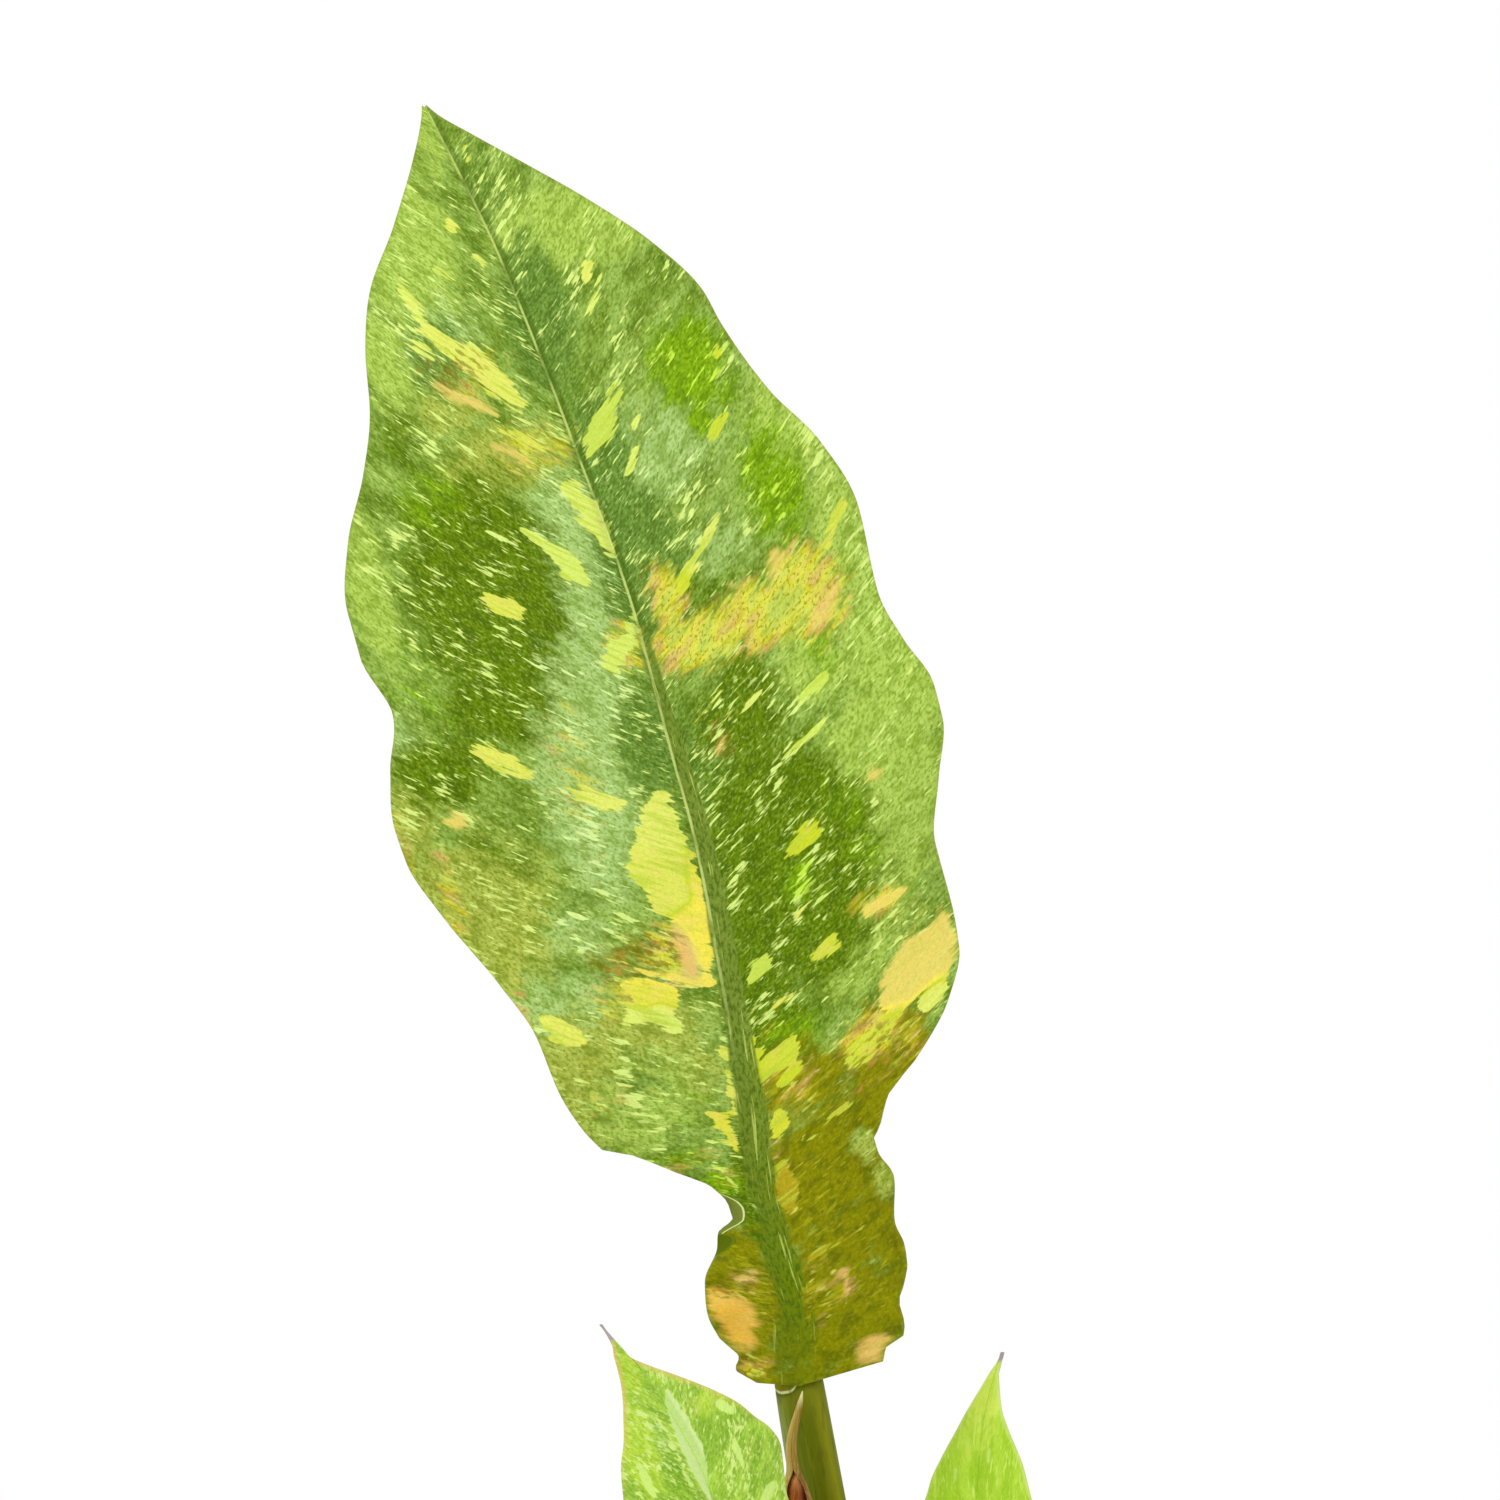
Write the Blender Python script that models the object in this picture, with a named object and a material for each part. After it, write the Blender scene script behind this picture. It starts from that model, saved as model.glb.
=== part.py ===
"""A potted philodendron with one tall variegated leaf, two lower leaves and a new shoot.

Metres, +Z up. The origin is the centre of the pot's flat base, and the tall leaf faces -Y.
Every leaf is a stalk and a blade. A blade is a closed thin solid: rows that run like its side
veins from the midrib out to both margins, pushed out of the leaf's plane by a fold, a ripple
and an arch, with a keel under the midrib.
"""
import math

import bmesh
import bpy
from mathutils import Matrix, Vector

GAP = 0.0003  # clearance between pieces that touch on the real plant

# The pot: a plain thin-walled grower's pot with a thickened rim band.
POT_HEIGHT = 0.096
POT_BASE_RADIUS = 0.039
POT_TOP_RADIUS = 0.0525
POT_WALL = 0.0020
POT_FLOOR = 0.0024
BAND_HEIGHT = 0.016
BAND_PROUD = 0.0022
POT_SEGMENTS = 56
DRAIN_SLOTS = 6
DRAIN_WIDTH = 0.0036
DRAIN_LENGTH = 0.011
DRAIN_RADIUS = 0.029

# The soil and the short stem that stands in it.
SOIL_TOP = 0.081
SOIL_DOME = 0.0016
STEM_RADIUS = 0.0050
STEM_FOOT = 0.060
STEM_TOP = 0.100
STEM_SIDES = 20

# The tall leaf: its midrib starts at BASE, and its blade is LENGTH long from there to the tip.
TALL_BASE = Vector((-0.0160, 0.0080, 0.2250))
TALL_LENGTH = 0.1715
TALL_TILT = math.radians(-16.35)  # to the left, seen from the front
TALL_LEAN = math.radians(7.0)  # backwards
LEFT_BASE = Vector((-0.0084, -0.0150, 0.1365))
LEFT_LENGTH = 0.1050
LEFT_TILT = math.radians(-18.0)
LEFT_LEAN = math.radians(-4.0)
LEFT_TURN = math.radians(26.0)  # about its own length, towards the right
RIGHT_BASE = Vector((0.0082, 0.0120, 0.1256))
RIGHT_LENGTH = 0.1018
RIGHT_TILT = math.radians(1.2)
RIGHT_LEAN = math.radians(4.0)
RIGHT_TURN = math.radians(-36.0)

BLADE_THICKNESS = 0.0008
LAST_ROW = 0.994  # the share of the midrib where a blade's last row crosses it

# A blade's outline in shares of its length: (across, along) from the stalk to the tip, and the
# midrib as (along, across). Across is positive to the right of the straight line to the tip.
TALL_MIDRIB = (
    (0.0, 0.0), (0.06, 0.012), (0.18, 0.021), (0.30, 0.030), (0.43, 0.044),
    (0.58, 0.045), (0.73, 0.037), (0.87, 0.021), (1.0, 0.0),
)
TALL_LEFT = (
    (-0.018, 0.006), (-0.034, 0.014), (-0.041, 0.025), (-0.035, 0.034),
    (-0.046, 0.051), (-0.049, 0.068), (-0.044, 0.093), (-0.028, 0.115),
    (-0.026, 0.124), (-0.011, 0.132), (-0.011, 0.143), (-0.021, 0.160),
    (-0.043, 0.178), (-0.069, 0.198), (-0.087, 0.206), (-0.102, 0.232),
    (-0.111, 0.266), (-0.114, 0.300), (-0.130, 0.346), (-0.155, 0.406),
    (-0.172, 0.450), (-0.174, 0.475), (-0.166, 0.518), (-0.151, 0.561),
    (-0.162, 0.606), (-0.163, 0.640), (-0.150, 0.689), (-0.125, 0.736),
    (-0.107, 0.779), (-0.095, 0.828), (-0.081, 0.870), (-0.051, 0.914),
    (-0.023, 0.957), (-0.003, 0.994),
)
TALL_RIGHT = (
    (0.018, -0.004), (0.067, 0.001), (0.085, 0.014), (0.088, 0.036),
    (0.099, 0.050), (0.105, 0.078), (0.103, 0.094), (0.112, 0.130),
    (0.105, 0.150), (0.104, 0.160), (0.110, 0.163), (0.124, 0.188),
    (0.151, 0.208), (0.185, 0.241), (0.205, 0.276), (0.211, 0.312),
    (0.211, 0.355), (0.225, 0.400), (0.240, 0.440), (0.245, 0.466),
    (0.236, 0.506), (0.225, 0.545), (0.229, 0.610), (0.217, 0.662),
    (0.192, 0.712), (0.169, 0.772), (0.163, 0.800), (0.140, 0.845),
    (0.106, 0.889), (0.061, 0.937), (0.031, 0.967), (0.006, 0.990),
)
# How steeply the side veins climb towards the tip, by where they reach the margin.
TALL_LEFT_CLIMB = (
    (0.0, 0.30), (0.05, 0.50), (0.14, 0.50), (0.20, 0.38), (0.30, 0.52),
    (0.45, 0.66), (0.60, 0.84), (0.75, 1.05), (0.90, 1.30), (1.0, 1.35),
)
TALL_RIGHT_CLIMB = (
    (0.0, 0.0), (0.10, 0.35), (0.20, 0.44), (0.45, 0.54), (0.65, 0.68), (1.0, 0.80),
)

LEFT_MIDRIB = (
    (0.0, 0.0), (0.25, 0.020), (0.55, 0.044), (0.78, 0.049), (0.90, 0.033), (1.0, 0.0),
)
LEFT_LEFT = (
    (-0.020, 0.004), (-0.055, 0.020), (-0.068, 0.055), (-0.060, 0.095),
    (-0.040, 0.125), (-0.030, 0.155), (-0.050, 0.180), (-0.090, 0.215),
    (-0.118, 0.270), (-0.126, 0.350), (-0.118, 0.430), (-0.122, 0.500),
    (-0.110, 0.600), (-0.083, 0.700), (-0.053, 0.791), (-0.031, 0.861),
    (-0.009, 0.918), (-0.001, 0.960), (-0.001, 0.994),
)
LEFT_RIGHT = (
    (0.020, 0.000), (0.064, 0.012), (0.094, 0.045), (0.100, 0.085),
    (0.078, 0.130), (0.070, 0.155), (0.092, 0.178), (0.138, 0.212),
    (0.178, 0.285), (0.190, 0.360), (0.184, 0.430), (0.200, 0.500),
    (0.198, 0.570), (0.172, 0.640), (0.144, 0.710), (0.146, 0.762),
    (0.146, 0.803), (0.130, 0.846), (0.107, 0.874), (0.081, 0.896),
    (0.054, 0.917), (0.031, 0.937), (0.014, 0.961), (0.002, 0.990),
)
RIGHT_MIDRIB = ((0.0, 0.0), (0.35, 0.002), (0.70, -0.003), (0.90, -0.012), (1.0, 0.0))
RIGHT_LEFT = (
    (-0.020, 0.003), (-0.070, 0.018), (-0.088, 0.060), (-0.076, 0.108),
    (-0.056, 0.138), (-0.062, 0.168), (-0.098, 0.200), (-0.142, 0.262),
    (-0.166, 0.350), (-0.168, 0.440), (-0.158, 0.520), (-0.160, 0.600),
    (-0.138, 0.680), (-0.104, 0.760), (-0.080, 0.818), (-0.062, 0.865),
    (-0.044, 0.904), (-0.025, 0.947), (-0.013, 0.972), (-0.003, 0.994),
)
RIGHT_RIGHT = (
    (0.020, 0.002), (0.056, 0.018), (0.070, 0.055), (0.060, 0.100),
    (0.044, 0.136), (0.054, 0.166), (0.088, 0.200), (0.126, 0.268),
    (0.150, 0.360), (0.148, 0.450), (0.140, 0.530), (0.145, 0.610),
    (0.126, 0.690), (0.094, 0.770), (0.070, 0.828), (0.045, 0.876),
    (0.020, 0.918), (0.008, 0.942), (0.001, 0.966), (0.0, 0.990),
)
LOWER_CLIMB = ((0.0, 0.15), (0.12, 0.42), (0.20, 0.40), (0.50, 0.62), (0.80, 0.95), (1.0, 1.10))


def between(low, high, share):
    return low + (high - low) * share


def smooth(knots, x):
    """The value at x of a curve through the knots (x, y) that never swings past them."""
    if x <= knots[0][0]:
        return knots[0][1]
    if x >= knots[-1][0]:
        return knots[-1][1]
    secants = [(b[1] - a[1]) / (b[0] - a[0]) for a, b in zip(knots, knots[1:])]
    i = next(n for n in range(len(secants)) if x <= knots[n + 1][0])

    def slope(n):
        before = secants[max(n - 1, 0)]
        after = secants[min(n, len(secants) - 1)]
        if before * after <= 0:
            return 0.0
        return 2 * before * after / (before + after)

    (x0, y0), (x1, y1) = knots[i], knots[i + 1]
    step = x1 - x0
    t = (x - x0) / step
    m0, m1 = slope(i) * step, slope(i + 1) * step
    return (
        y0 * (1 + 2 * t) * (1 - t) ** 2 + m0 * t * (1 - t) ** 2
        + y1 * t * t * (3 - 2 * t) - m1 * t * t * (1 - t)
    )


def bezier(points, share):
    """A point of the curve that four control points pull, and its direction there."""
    a, b, c, d = points
    r = 1 - share
    place = a * r**3 + b * (3 * r * r * share) + c * (3 * r * share * share) + d * share**3
    along = (b - a) * (3 * r * r) + (c - b) * (6 * r * share) + (d - c) * (3 * share * share)
    return place, along.normalized()


def material(name, colour, roughness):
    made = bpy.data.materials.new(name)
    made.use_nodes = True
    shader = made.node_tree.nodes["Principled BSDF"]
    shader.inputs["Base Color"].default_value = (*colour, 1.0)
    shader.inputs["Roughness"].default_value = roughness
    shader.inputs["Metallic"].default_value = 0.0
    made.diffuse_color = (*colour, 1.0)
    return made


def finish(name, bm, made_of):
    """Turns the mesh being built into a named object with its material."""
    bmesh.ops.recalc_face_normals(bm, faces=bm.faces)
    mesh = bpy.data.meshes.new(name)
    bm.to_mesh(mesh)
    bm.free()
    mesh.shade_smooth()
    mesh.set_sharp_from_angle(angle=math.radians(40))
    piece = bpy.data.objects.new(name, mesh)
    piece.data.materials.append(made_of)
    bpy.context.scene.collection.objects.link(piece)
    return piece


def turned(name, profile, segments, made_of, lift=None):
    """A solid turned about Z. The profile runs from the axis round to the axis as (radius, z)."""
    bm = bmesh.new()
    rings = []
    for radius, z in profile:
        if radius == 0:
            rings.append([bm.verts.new((0, 0, z))])
            continue
        ring = []
        for n in range(segments):
            angle = math.tau * n / segments
            x, y = radius * math.cos(angle), radius * math.sin(angle)
            ring.append(bm.verts.new((x, y, z + (lift(x, y, z) if lift else 0))))
        rings.append(ring)
    for low, high in zip(rings, rings[1:]):
        for n in range(segments):
            m = (n + 1) % segments
            if len(low) == 1:
                bm.faces.new((low[0], high[n], high[m]))
            elif len(high) == 1:
                bm.faces.new((low[m], low[n], high[0]))
            else:
                bm.faces.new((low[m], low[n], high[n], high[m]))
    return finish(name, bm, made_of)


def swept(name, path, section, rings, made_of):
    """A solid along a path. section(share) gives its outline there as (sideways, forwards)."""
    bm = bmesh.new()
    loops = []
    for n in range(rings):
        share = n / (rings - 1)
        place, along = path(share)
        side = along.cross(Vector((0, 1, 0))).normalized() * -1
        front = along.cross(side).normalized() * -1
        if front.y > 0:
            front.negate()
        if side.x < 0:
            side.negate()
        loops.append([bm.verts.new(place + side * a + front * b) for a, b in section(share)])
    for low, high in zip(loops, loops[1:]):
        for n in range(len(low)):
            m = (n + 1) % len(low)
            bm.faces.new((low[n], low[m], high[m], high[n]))
    bm.faces.new(loops[0])
    bm.faces.new(loops[-1])
    return finish(name, bm, made_of)


def inner_radius(z):
    """The pot's inside radius at height z."""
    outer = between(POT_BASE_RADIUS, POT_TOP_RADIUS, z / POT_HEIGHT)
    return outer - POT_WALL


def make_pot():
    plastic = material("pot_plastic", (0.45, 0.20, 0.11), 0.55)
    band_low = POT_HEIGHT - BAND_HEIGHT
    wall_at_band = between(POT_BASE_RADIUS, POT_TOP_RADIUS, band_low / POT_HEIGHT)
    edge = 0.0009
    profile = (
        (0.0, 0.0),
        (POT_BASE_RADIUS - 0.0150, 0.0),
        (POT_BASE_RADIUS - 0.0052, 0.0),
        (POT_BASE_RADIUS - edge, 0.0),
        (POT_BASE_RADIUS, edge),
        (wall_at_band - 0.0001, band_low - edge),
        (wall_at_band + BAND_PROUD - edge, band_low),
        (wall_at_band + BAND_PROUD, band_low + edge),
        (POT_TOP_RADIUS + BAND_PROUD, POT_HEIGHT - edge),
        (POT_TOP_RADIUS + BAND_PROUD - edge, POT_HEIGHT),
        (inner_radius(POT_HEIGHT) + edge, POT_HEIGHT),
        (inner_radius(POT_HEIGHT), POT_HEIGHT - edge),
        (inner_radius(POT_FLOOR) + 0.0001, POT_FLOOR + edge),
        (inner_radius(POT_FLOOR) - edge, POT_FLOOR),
        (0.0, POT_FLOOR),
    )
    pot = turned("pot", profile, POT_SEGMENTS, plastic)
    cutters = bmesh.new()
    for n in range(DRAIN_SLOTS):
        turn = Matrix.Rotation(math.tau * (n + 0.5) / DRAIN_SLOTS, 4, "Z")
        place = turn @ Matrix.Translation((DRAIN_RADIUS, 0, POT_FLOOR / 2))
        size = Matrix.Diagonal((DRAIN_WIDTH, DRAIN_LENGTH, POT_FLOOR * 3, 1))
        bmesh.ops.create_cube(cutters, size=1.0, matrix=place @ size)
    cutter = finish("drain_cutter", cutters, plastic)
    cutter.hide_render = True
    cutter.display_type = "WIRE"
    drains = pot.modifiers.new("drains", "BOOLEAN")
    drains.operation = "DIFFERENCE"
    drains.solver = "EXACT"
    drains.object = cutter


def make_soil():
    mix = material("potting_mix", (0.055, 0.036, 0.024), 0.95)
    well = STEM_RADIUS + 0.0010
    foot = POT_FLOOR + GAP
    top_radius = inner_radius(SOIL_TOP) - 0.0006

    def crumble(x, y, z):
        if z < SOIL_TOP - 0.003:
            return 0.0
        rim = 1 - min(math.hypot(x, y) / top_radius, 1.0) ** 2
        waves = math.sin(x * 260 + 0.8) * math.cos(y * 310 - 0.4)
        return SOIL_DOME * rim + 0.0007 * waves

    profile = (
        (0.0, foot),
        (inner_radius(foot) - 0.0018, foot),
        (inner_radius(foot + 0.001) - 0.0006, foot + 0.001),
        (top_radius, SOIL_TOP - 0.0008),
        (top_radius * 0.86, SOIL_TOP),
        (top_radius * 0.68, SOIL_TOP),
        (top_radius * 0.50, SOIL_TOP),
        (top_radius * 0.32, SOIL_TOP),
        (well, SOIL_TOP),
        (well, STEM_FOOT - GAP),
        (0.0, STEM_FOOT - GAP),
    )
    turned("soil", profile, 40, mix, lift=crumble)


def make_stem():
    bark = material("stem_skin", (0.13, 0.15, 0.04), 0.5)
    rings = 15

    def path(share):
        return Vector((0.0, 0.0, between(STEM_FOOT, STEM_TOP, share))), Vector((0, 0, 1))

    def section(share):
        node = 0.0004 * math.cos(share * math.tau * 5) ** 2
        shoulder = 0.0016 * max(share - 0.86, 0) / 0.14
        radius = STEM_RADIUS - 0.0002 + node - shoulder
        turn = [math.tau * n / STEM_SIDES for n in range(STEM_SIDES)]
        return [(radius * math.cos(a), radius * math.sin(a)) for a in turn]

    swept("stem", path, section, rings, bark)


def leaf_frame(tilt, lean, turn):
    """Columns: across the leaf, out of its upper face, and along it towards the tip."""
    return (
        Matrix.Rotation(tilt, 3, "Y") @ Matrix.Rotation(-lean, 3, "X")
        @ Matrix.Rotation(turn, 3, "Z")
    )


def stalk_section(width_low, width_high, depth_share, sides, base_swell):
    """Oval, flattened on the front, with a blunt ridge down each side of the flat."""

    def section(share):
        swell = base_swell * max(1 - share / 0.22, 0) ** 2
        toe = min(1.0, 0.55 + share / 0.04 * 0.45)
        half = (between(width_low, width_high, share) + swell) * toe / 2
        outline = []
        for n in range(sides):
            angle = math.tau * n / sides
            across, forwards = math.cos(angle), math.sin(angle)
            if forwards > 0:
                forwards = 0.72 * forwards * (1 - 0.35 * math.exp(-((across / 0.45) ** 2)))
            outline.append((half * across, half * depth_share * forwards))
        return outline

    return section


def make_stalk(name, foot, rise, base, frame, depth, tangent, section, rings, made_of):
    """A stalk from the stem up to just under its blade, square to the midrib where it ends."""
    end = frame @ Vector((0.0, depth, -GAP)) + base
    reach = (end - foot).length * 0.38
    points = (foot, foot + rise * reach, end - tangent.normalized() * reach, end)
    swept(name, lambda share: bezier(points, share), section, rings, made_of)


def margin(outline, climb, midrib):
    """The outline by the height at which each point's side vein leaves the midrib."""
    across, along = [], []
    last = -1.0
    for u, v in outline:
        root = v - smooth(climb, v) * abs(u - smooth(midrib, v))
        root = max(root, last + 0.0006)
        across.append((root, u))
        along.append((root, v))
        last = root
    return across, along


def rows_through(edges, spacing):
    """Where rows leave the midrib: through the outline's own points, no closer than spacing."""
    roots = sorted(root for across, _ in edges for root, _ in across if 0 < root < LAST_ROW)
    rows = [0.0]
    for root in roots:
        if root - rows[-1] >= spacing and LAST_ROW - root >= spacing / 2:
            rows.append(root)
    return rows + [LAST_ROW]


def make_blade(name, base, length, frame, outlines, climbs, midrib, shape, spacing, made_of):
    """A blade's closed solid. shape holds its keel, fold, sag, ripple, ripples and arch."""
    shares = (0.25, 0.5, 0.75, 1.0)
    edges = [margin(o, c, midrib) for o, c in zip(outlines, climbs)]

    def relief(side, share, width, v):
        fold = width * (shape["fold"] * share - shape["sag"] * share * share)
        wave = math.sin(math.tau * shape["ripples"] * v + shape["phase"][side])
        ripple = shape["ripple"] * wave * share * share * min(width / 0.12, 1.0)
        return fold + ripple + shape["arch"] * 4 * v * (1 - v)

    def place(u, v, height):
        return base + frame @ Vector((u * length, -height * length, v * length))

    bm = bmesh.new()
    top, under = [], []
    for root in rows_through(edges, spacing):
        mid = Vector((smooth(midrib, root), root))
        upper, lower = [], []
        for side in (0, 1):
            across, along = edges[side]
            end = Vector((smooth(across, root), smooth(along, root)))
            width = (end - mid).length
            keel = min(shape["keel"] * (1 - 0.93 * root) ** 1.3, width * 0.4)
            steps = [keel * 0.6, keel] + [between(keel, width, share) for share in shares]
            row = []
            for step in steps:
                u, v = mid + (end - mid) * (step / width)
                height = relief(side, step / width, width, v)
                below = BLADE_THICKNESS / length
                below += 1.7 * keel * math.sqrt(max(1 - (step / keel) ** 2, 0))
                row.append((u, v, height, below))
            if side == 0:
                upper += [place(u, v, h) for u, v, h, _ in reversed(row)]
                lower += [place(u, v, h - b) for u, v, h, b in reversed(row)]
                height = relief(side, 0, width, root)
                below = BLADE_THICKNESS / length + 1.7 * keel
                upper.append(place(mid.x, mid.y, height))
                lower.append(place(mid.x, mid.y, height - below))
            else:
                upper += [place(u, v, h) for u, v, h, _ in row]
                lower += [place(u, v, h - b) for u, v, h, b in row]
        top.append([bm.verts.new(p) for p in upper])
        under.append([bm.verts.new(p) for p in lower])
    columns = len(top[0])
    for i in range(len(top) - 1):
        for j in range(columns - 1):
            bm.faces.new((top[i][j], top[i][j + 1], top[i + 1][j + 1], top[i + 1][j]))
            bm.faces.new((under[i][j], under[i + 1][j], under[i + 1][j + 1], under[i][j + 1]))
        for j in (0, columns - 1):
            bm.faces.new((top[i][j], top[i + 1][j], under[i + 1][j], under[i][j]))
    for i in (0, len(top) - 1):
        for j in range(columns - 1):
            bm.faces.new((top[i][j], under[i][j], under[i][j + 1], top[i][j + 1]))
    return finish(name, bm, made_of)


def make_tall_leaf():
    frame = leaf_frame(TALL_TILT, TALL_LEAN, 0.0)
    olive = material("tall_stalk_skin", (0.13, 0.14, 0.012), 0.4)
    green = material("tall_blade_skin", (0.20, 0.33, 0.06), 0.4)
    section = stalk_section(0.0082, 0.0060, 0.92, 16, 0.0016)
    tangent = Vector((-0.151, 0.02, 1.0))
    make_stalk("stalk_tall", Vector((0.0010, 0.0078, 0.0850)), Vector((0.0, 0.0, 1.0)),
               TALL_BASE, frame, 0.0026, tangent, section, 22, olive)
    shape = dict(keel=0.0170, fold=0.16, sag=0.13, ripple=0.010, ripples=4.2,
                 phase=(0.6, 2.6), arch=0.060)
    make_blade("leaf_tall", TALL_BASE, TALL_LENGTH, frame, (TALL_LEFT, TALL_RIGHT),
               (TALL_LEFT_CLIMB, TALL_RIGHT_CLIMB), TALL_MIDRIB, shape, 0.005, green)


def make_lower_leaves():
    skin = material("lower_stalk_skin", (0.24, 0.32, 0.04), 0.4)
    left_green = material("left_blade_skin", (0.36, 0.58, 0.09), 0.4)
    right_green = material("right_blade_skin", (0.42, 0.68, 0.07), 0.4)
    shape = dict(keel=0.0190, fold=0.22, sag=0.16, ripple=0.010, ripples=3.4,
                 phase=(0.2, 2.0), arch=0.060)
    section = stalk_section(0.0064, 0.0042, 0.92, 12, 0.0012)
    up = Vector((0.0, 0.0, 1.0))

    left = leaf_frame(LEFT_TILT, LEFT_LEAN, LEFT_TURN)
    make_stalk("stalk_left", Vector((-0.0080, -0.0042, 0.0850)), up, LEFT_BASE, left,
               0.0018, Vector((-0.12, -0.10, 1.0)), section, 16, skin)
    make_blade("leaf_left", LEFT_BASE, LEFT_LENGTH, left, (LEFT_LEFT, LEFT_RIGHT),
               (LOWER_CLIMB, LOWER_CLIMB), LEFT_MIDRIB, shape, 0.018, left_green)

    right = leaf_frame(RIGHT_TILT, RIGHT_LEAN, RIGHT_TURN)
    make_stalk("stalk_right", Vector((0.0090, 0.0016, 0.0850)), up, RIGHT_BASE, right,
               0.0018, Vector((0.02, 0.14, 1.0)), section, 16, skin)
    make_blade("leaf_right", RIGHT_BASE, RIGHT_LENGTH, right, (RIGHT_LEFT, RIGHT_RIGHT),
               (LOWER_CLIMB, LOWER_CLIMB), RIGHT_MIDRIB, shape, 0.018, right_green)


def shoot_path(share):
    """Up from the stem's top, bending left with the tall stalk that it stands in front of."""
    points = (
        Vector((0.0, 0.0, STEM_TOP + GAP)),
        Vector((0.0, 0.0005, 0.145)),
        Vector((-0.0205, 0.0018, 0.190)),
        Vector((-0.0155, 0.0026, 0.2242)),
    )
    return bezier(points, share)


def make_shoot():
    """The rolled new leaf, and the sheath open down its front that it grows out of."""
    red = material("new_leaf_skin", (0.24, 0.07, 0.02), 0.45)
    tan = material("sheath_skin", (0.42, 0.30, 0.12), 0.5)
    roll_reach = 0.905  # how far up the sheath the rolled leaf comes
    roll = (
        (0.0, 0.0016), (0.10, 0.0024), (0.60, 0.0023), (0.88, 0.0018),
        (0.95, 0.0014), (0.98, 0.0010), (1.0, 0.0004),
    )
    inside = tuple((share * roll_reach, radius + GAP) for share, radius in roll)
    inside += ((0.915, 0.0004), (0.95, 0.00018), (1.0, 0.00006))
    outside = tuple((share * roll_reach, radius + 0.0009) for share, radius in roll[:5])
    outside += (
        (0.887, 0.00165), (0.905, 0.00115), (0.915, 0.00090), (0.935, 0.00075),
        (0.96, 0.00062), (0.985, 0.00040), (1.0, 0.00015),
    )
    open_to = ((0.0, 0.10), (0.35, 0.16), (0.80, 0.20), (0.90, 0.12), (0.93, 0.03), (1.0, 0.02))

    def roll_section(share):
        radius = smooth(roll, share)
        turn = [math.tau * n / 12 for n in range(12)]
        return [(radius * math.cos(a), radius * math.sin(a)) for a in turn]

    def sheath_section(share):
        far, near = smooth(outside, share), smooth(inside, share)
        half_gap = smooth(open_to, share) * math.pi
        steps = 9
        arc = [math.pi / 2 + between(half_gap, math.tau - half_gap, n / steps)
               for n in range(steps + 1)]
        outer = [(far * math.cos(a), far * math.sin(a)) for a in arc]
        inner = [(near * math.cos(a), near * math.sin(a)) for a in reversed(arc)]
        return outer + inner

    swept("new_leaf", lambda share: shoot_path(share * roll_reach), roll_section, 16, red)
    swept("sheath", shoot_path, sheath_section, 24, tan)


def main():
    for old in list(bpy.data.objects):
        bpy.data.objects.remove(old)
    make_pot()
    make_soil()
    make_stem()
    make_tall_leaf()
    make_lower_leaves()
    make_shoot()


main()
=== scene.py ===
# %% [markdown]
# # A potted philodendron with a speckled leaf
#
# The plant is a young one in a plain grower's pot. One tall leaf stands up behind a rolled new
# leaf, and two younger leaves stand lower down. This lesson dresses the plant: every blade gets
# its veins, its thin margin and its yellow variegation, and the stalks, sheath, soil and pot get
# the small forms that a plain solid lacks.
#
# We start from the frame, which holds the plain solids at their true size and place. Every
# place below is worked out from the boxes of those solids, so nothing has to be fitted by eye.

# %% Load the fixed frame
import math

import bpy
import numpy as np
from mathutils import Matrix, Vector
from mathutils import noise as field_noise


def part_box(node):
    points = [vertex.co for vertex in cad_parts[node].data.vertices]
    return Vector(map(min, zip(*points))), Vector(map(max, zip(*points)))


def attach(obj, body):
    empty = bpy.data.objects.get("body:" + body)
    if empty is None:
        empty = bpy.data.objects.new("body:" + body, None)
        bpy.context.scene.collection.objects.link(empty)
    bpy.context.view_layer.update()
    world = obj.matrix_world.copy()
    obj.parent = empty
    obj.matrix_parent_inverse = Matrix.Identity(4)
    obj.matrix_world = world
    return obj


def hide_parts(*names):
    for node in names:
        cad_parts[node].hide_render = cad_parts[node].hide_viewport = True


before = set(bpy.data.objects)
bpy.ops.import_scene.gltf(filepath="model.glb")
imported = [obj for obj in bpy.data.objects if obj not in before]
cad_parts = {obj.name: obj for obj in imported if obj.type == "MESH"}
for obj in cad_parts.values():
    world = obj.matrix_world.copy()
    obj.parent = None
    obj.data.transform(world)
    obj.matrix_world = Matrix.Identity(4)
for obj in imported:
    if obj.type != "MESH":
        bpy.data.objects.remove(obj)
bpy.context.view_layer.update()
MM = 0.001
print("nodes in the frame:", ", ".join(sorted(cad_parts)))

# %% [markdown]
# ## Small helpers
#
# New objects are made with Blender's own operators, and those act on whatever is selected. The
# frame arrives with its solids selected, so the first helper clears the selection. The others
# apply a modifier, smooth a piece's shading up to an angle, join pieces, start a material, turn
# a set of knots into a smooth curve, and find a point in the box of a solid.

# %% Helpers for objects, materials and curves
def deselect():
    bpy.ops.object.select_all(action="DESELECT")


def apply_modifier(piece, name, kind, **settings):
    """Adds one modifier to a piece, sets it up and applies it."""
    modifier = piece.modifiers.new(name, kind)
    for key, value in settings.items():
        setattr(modifier, key, value)
    bpy.context.view_layer.objects.active = piece
    bpy.ops.object.modifier_apply(modifier=modifier.name)


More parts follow.
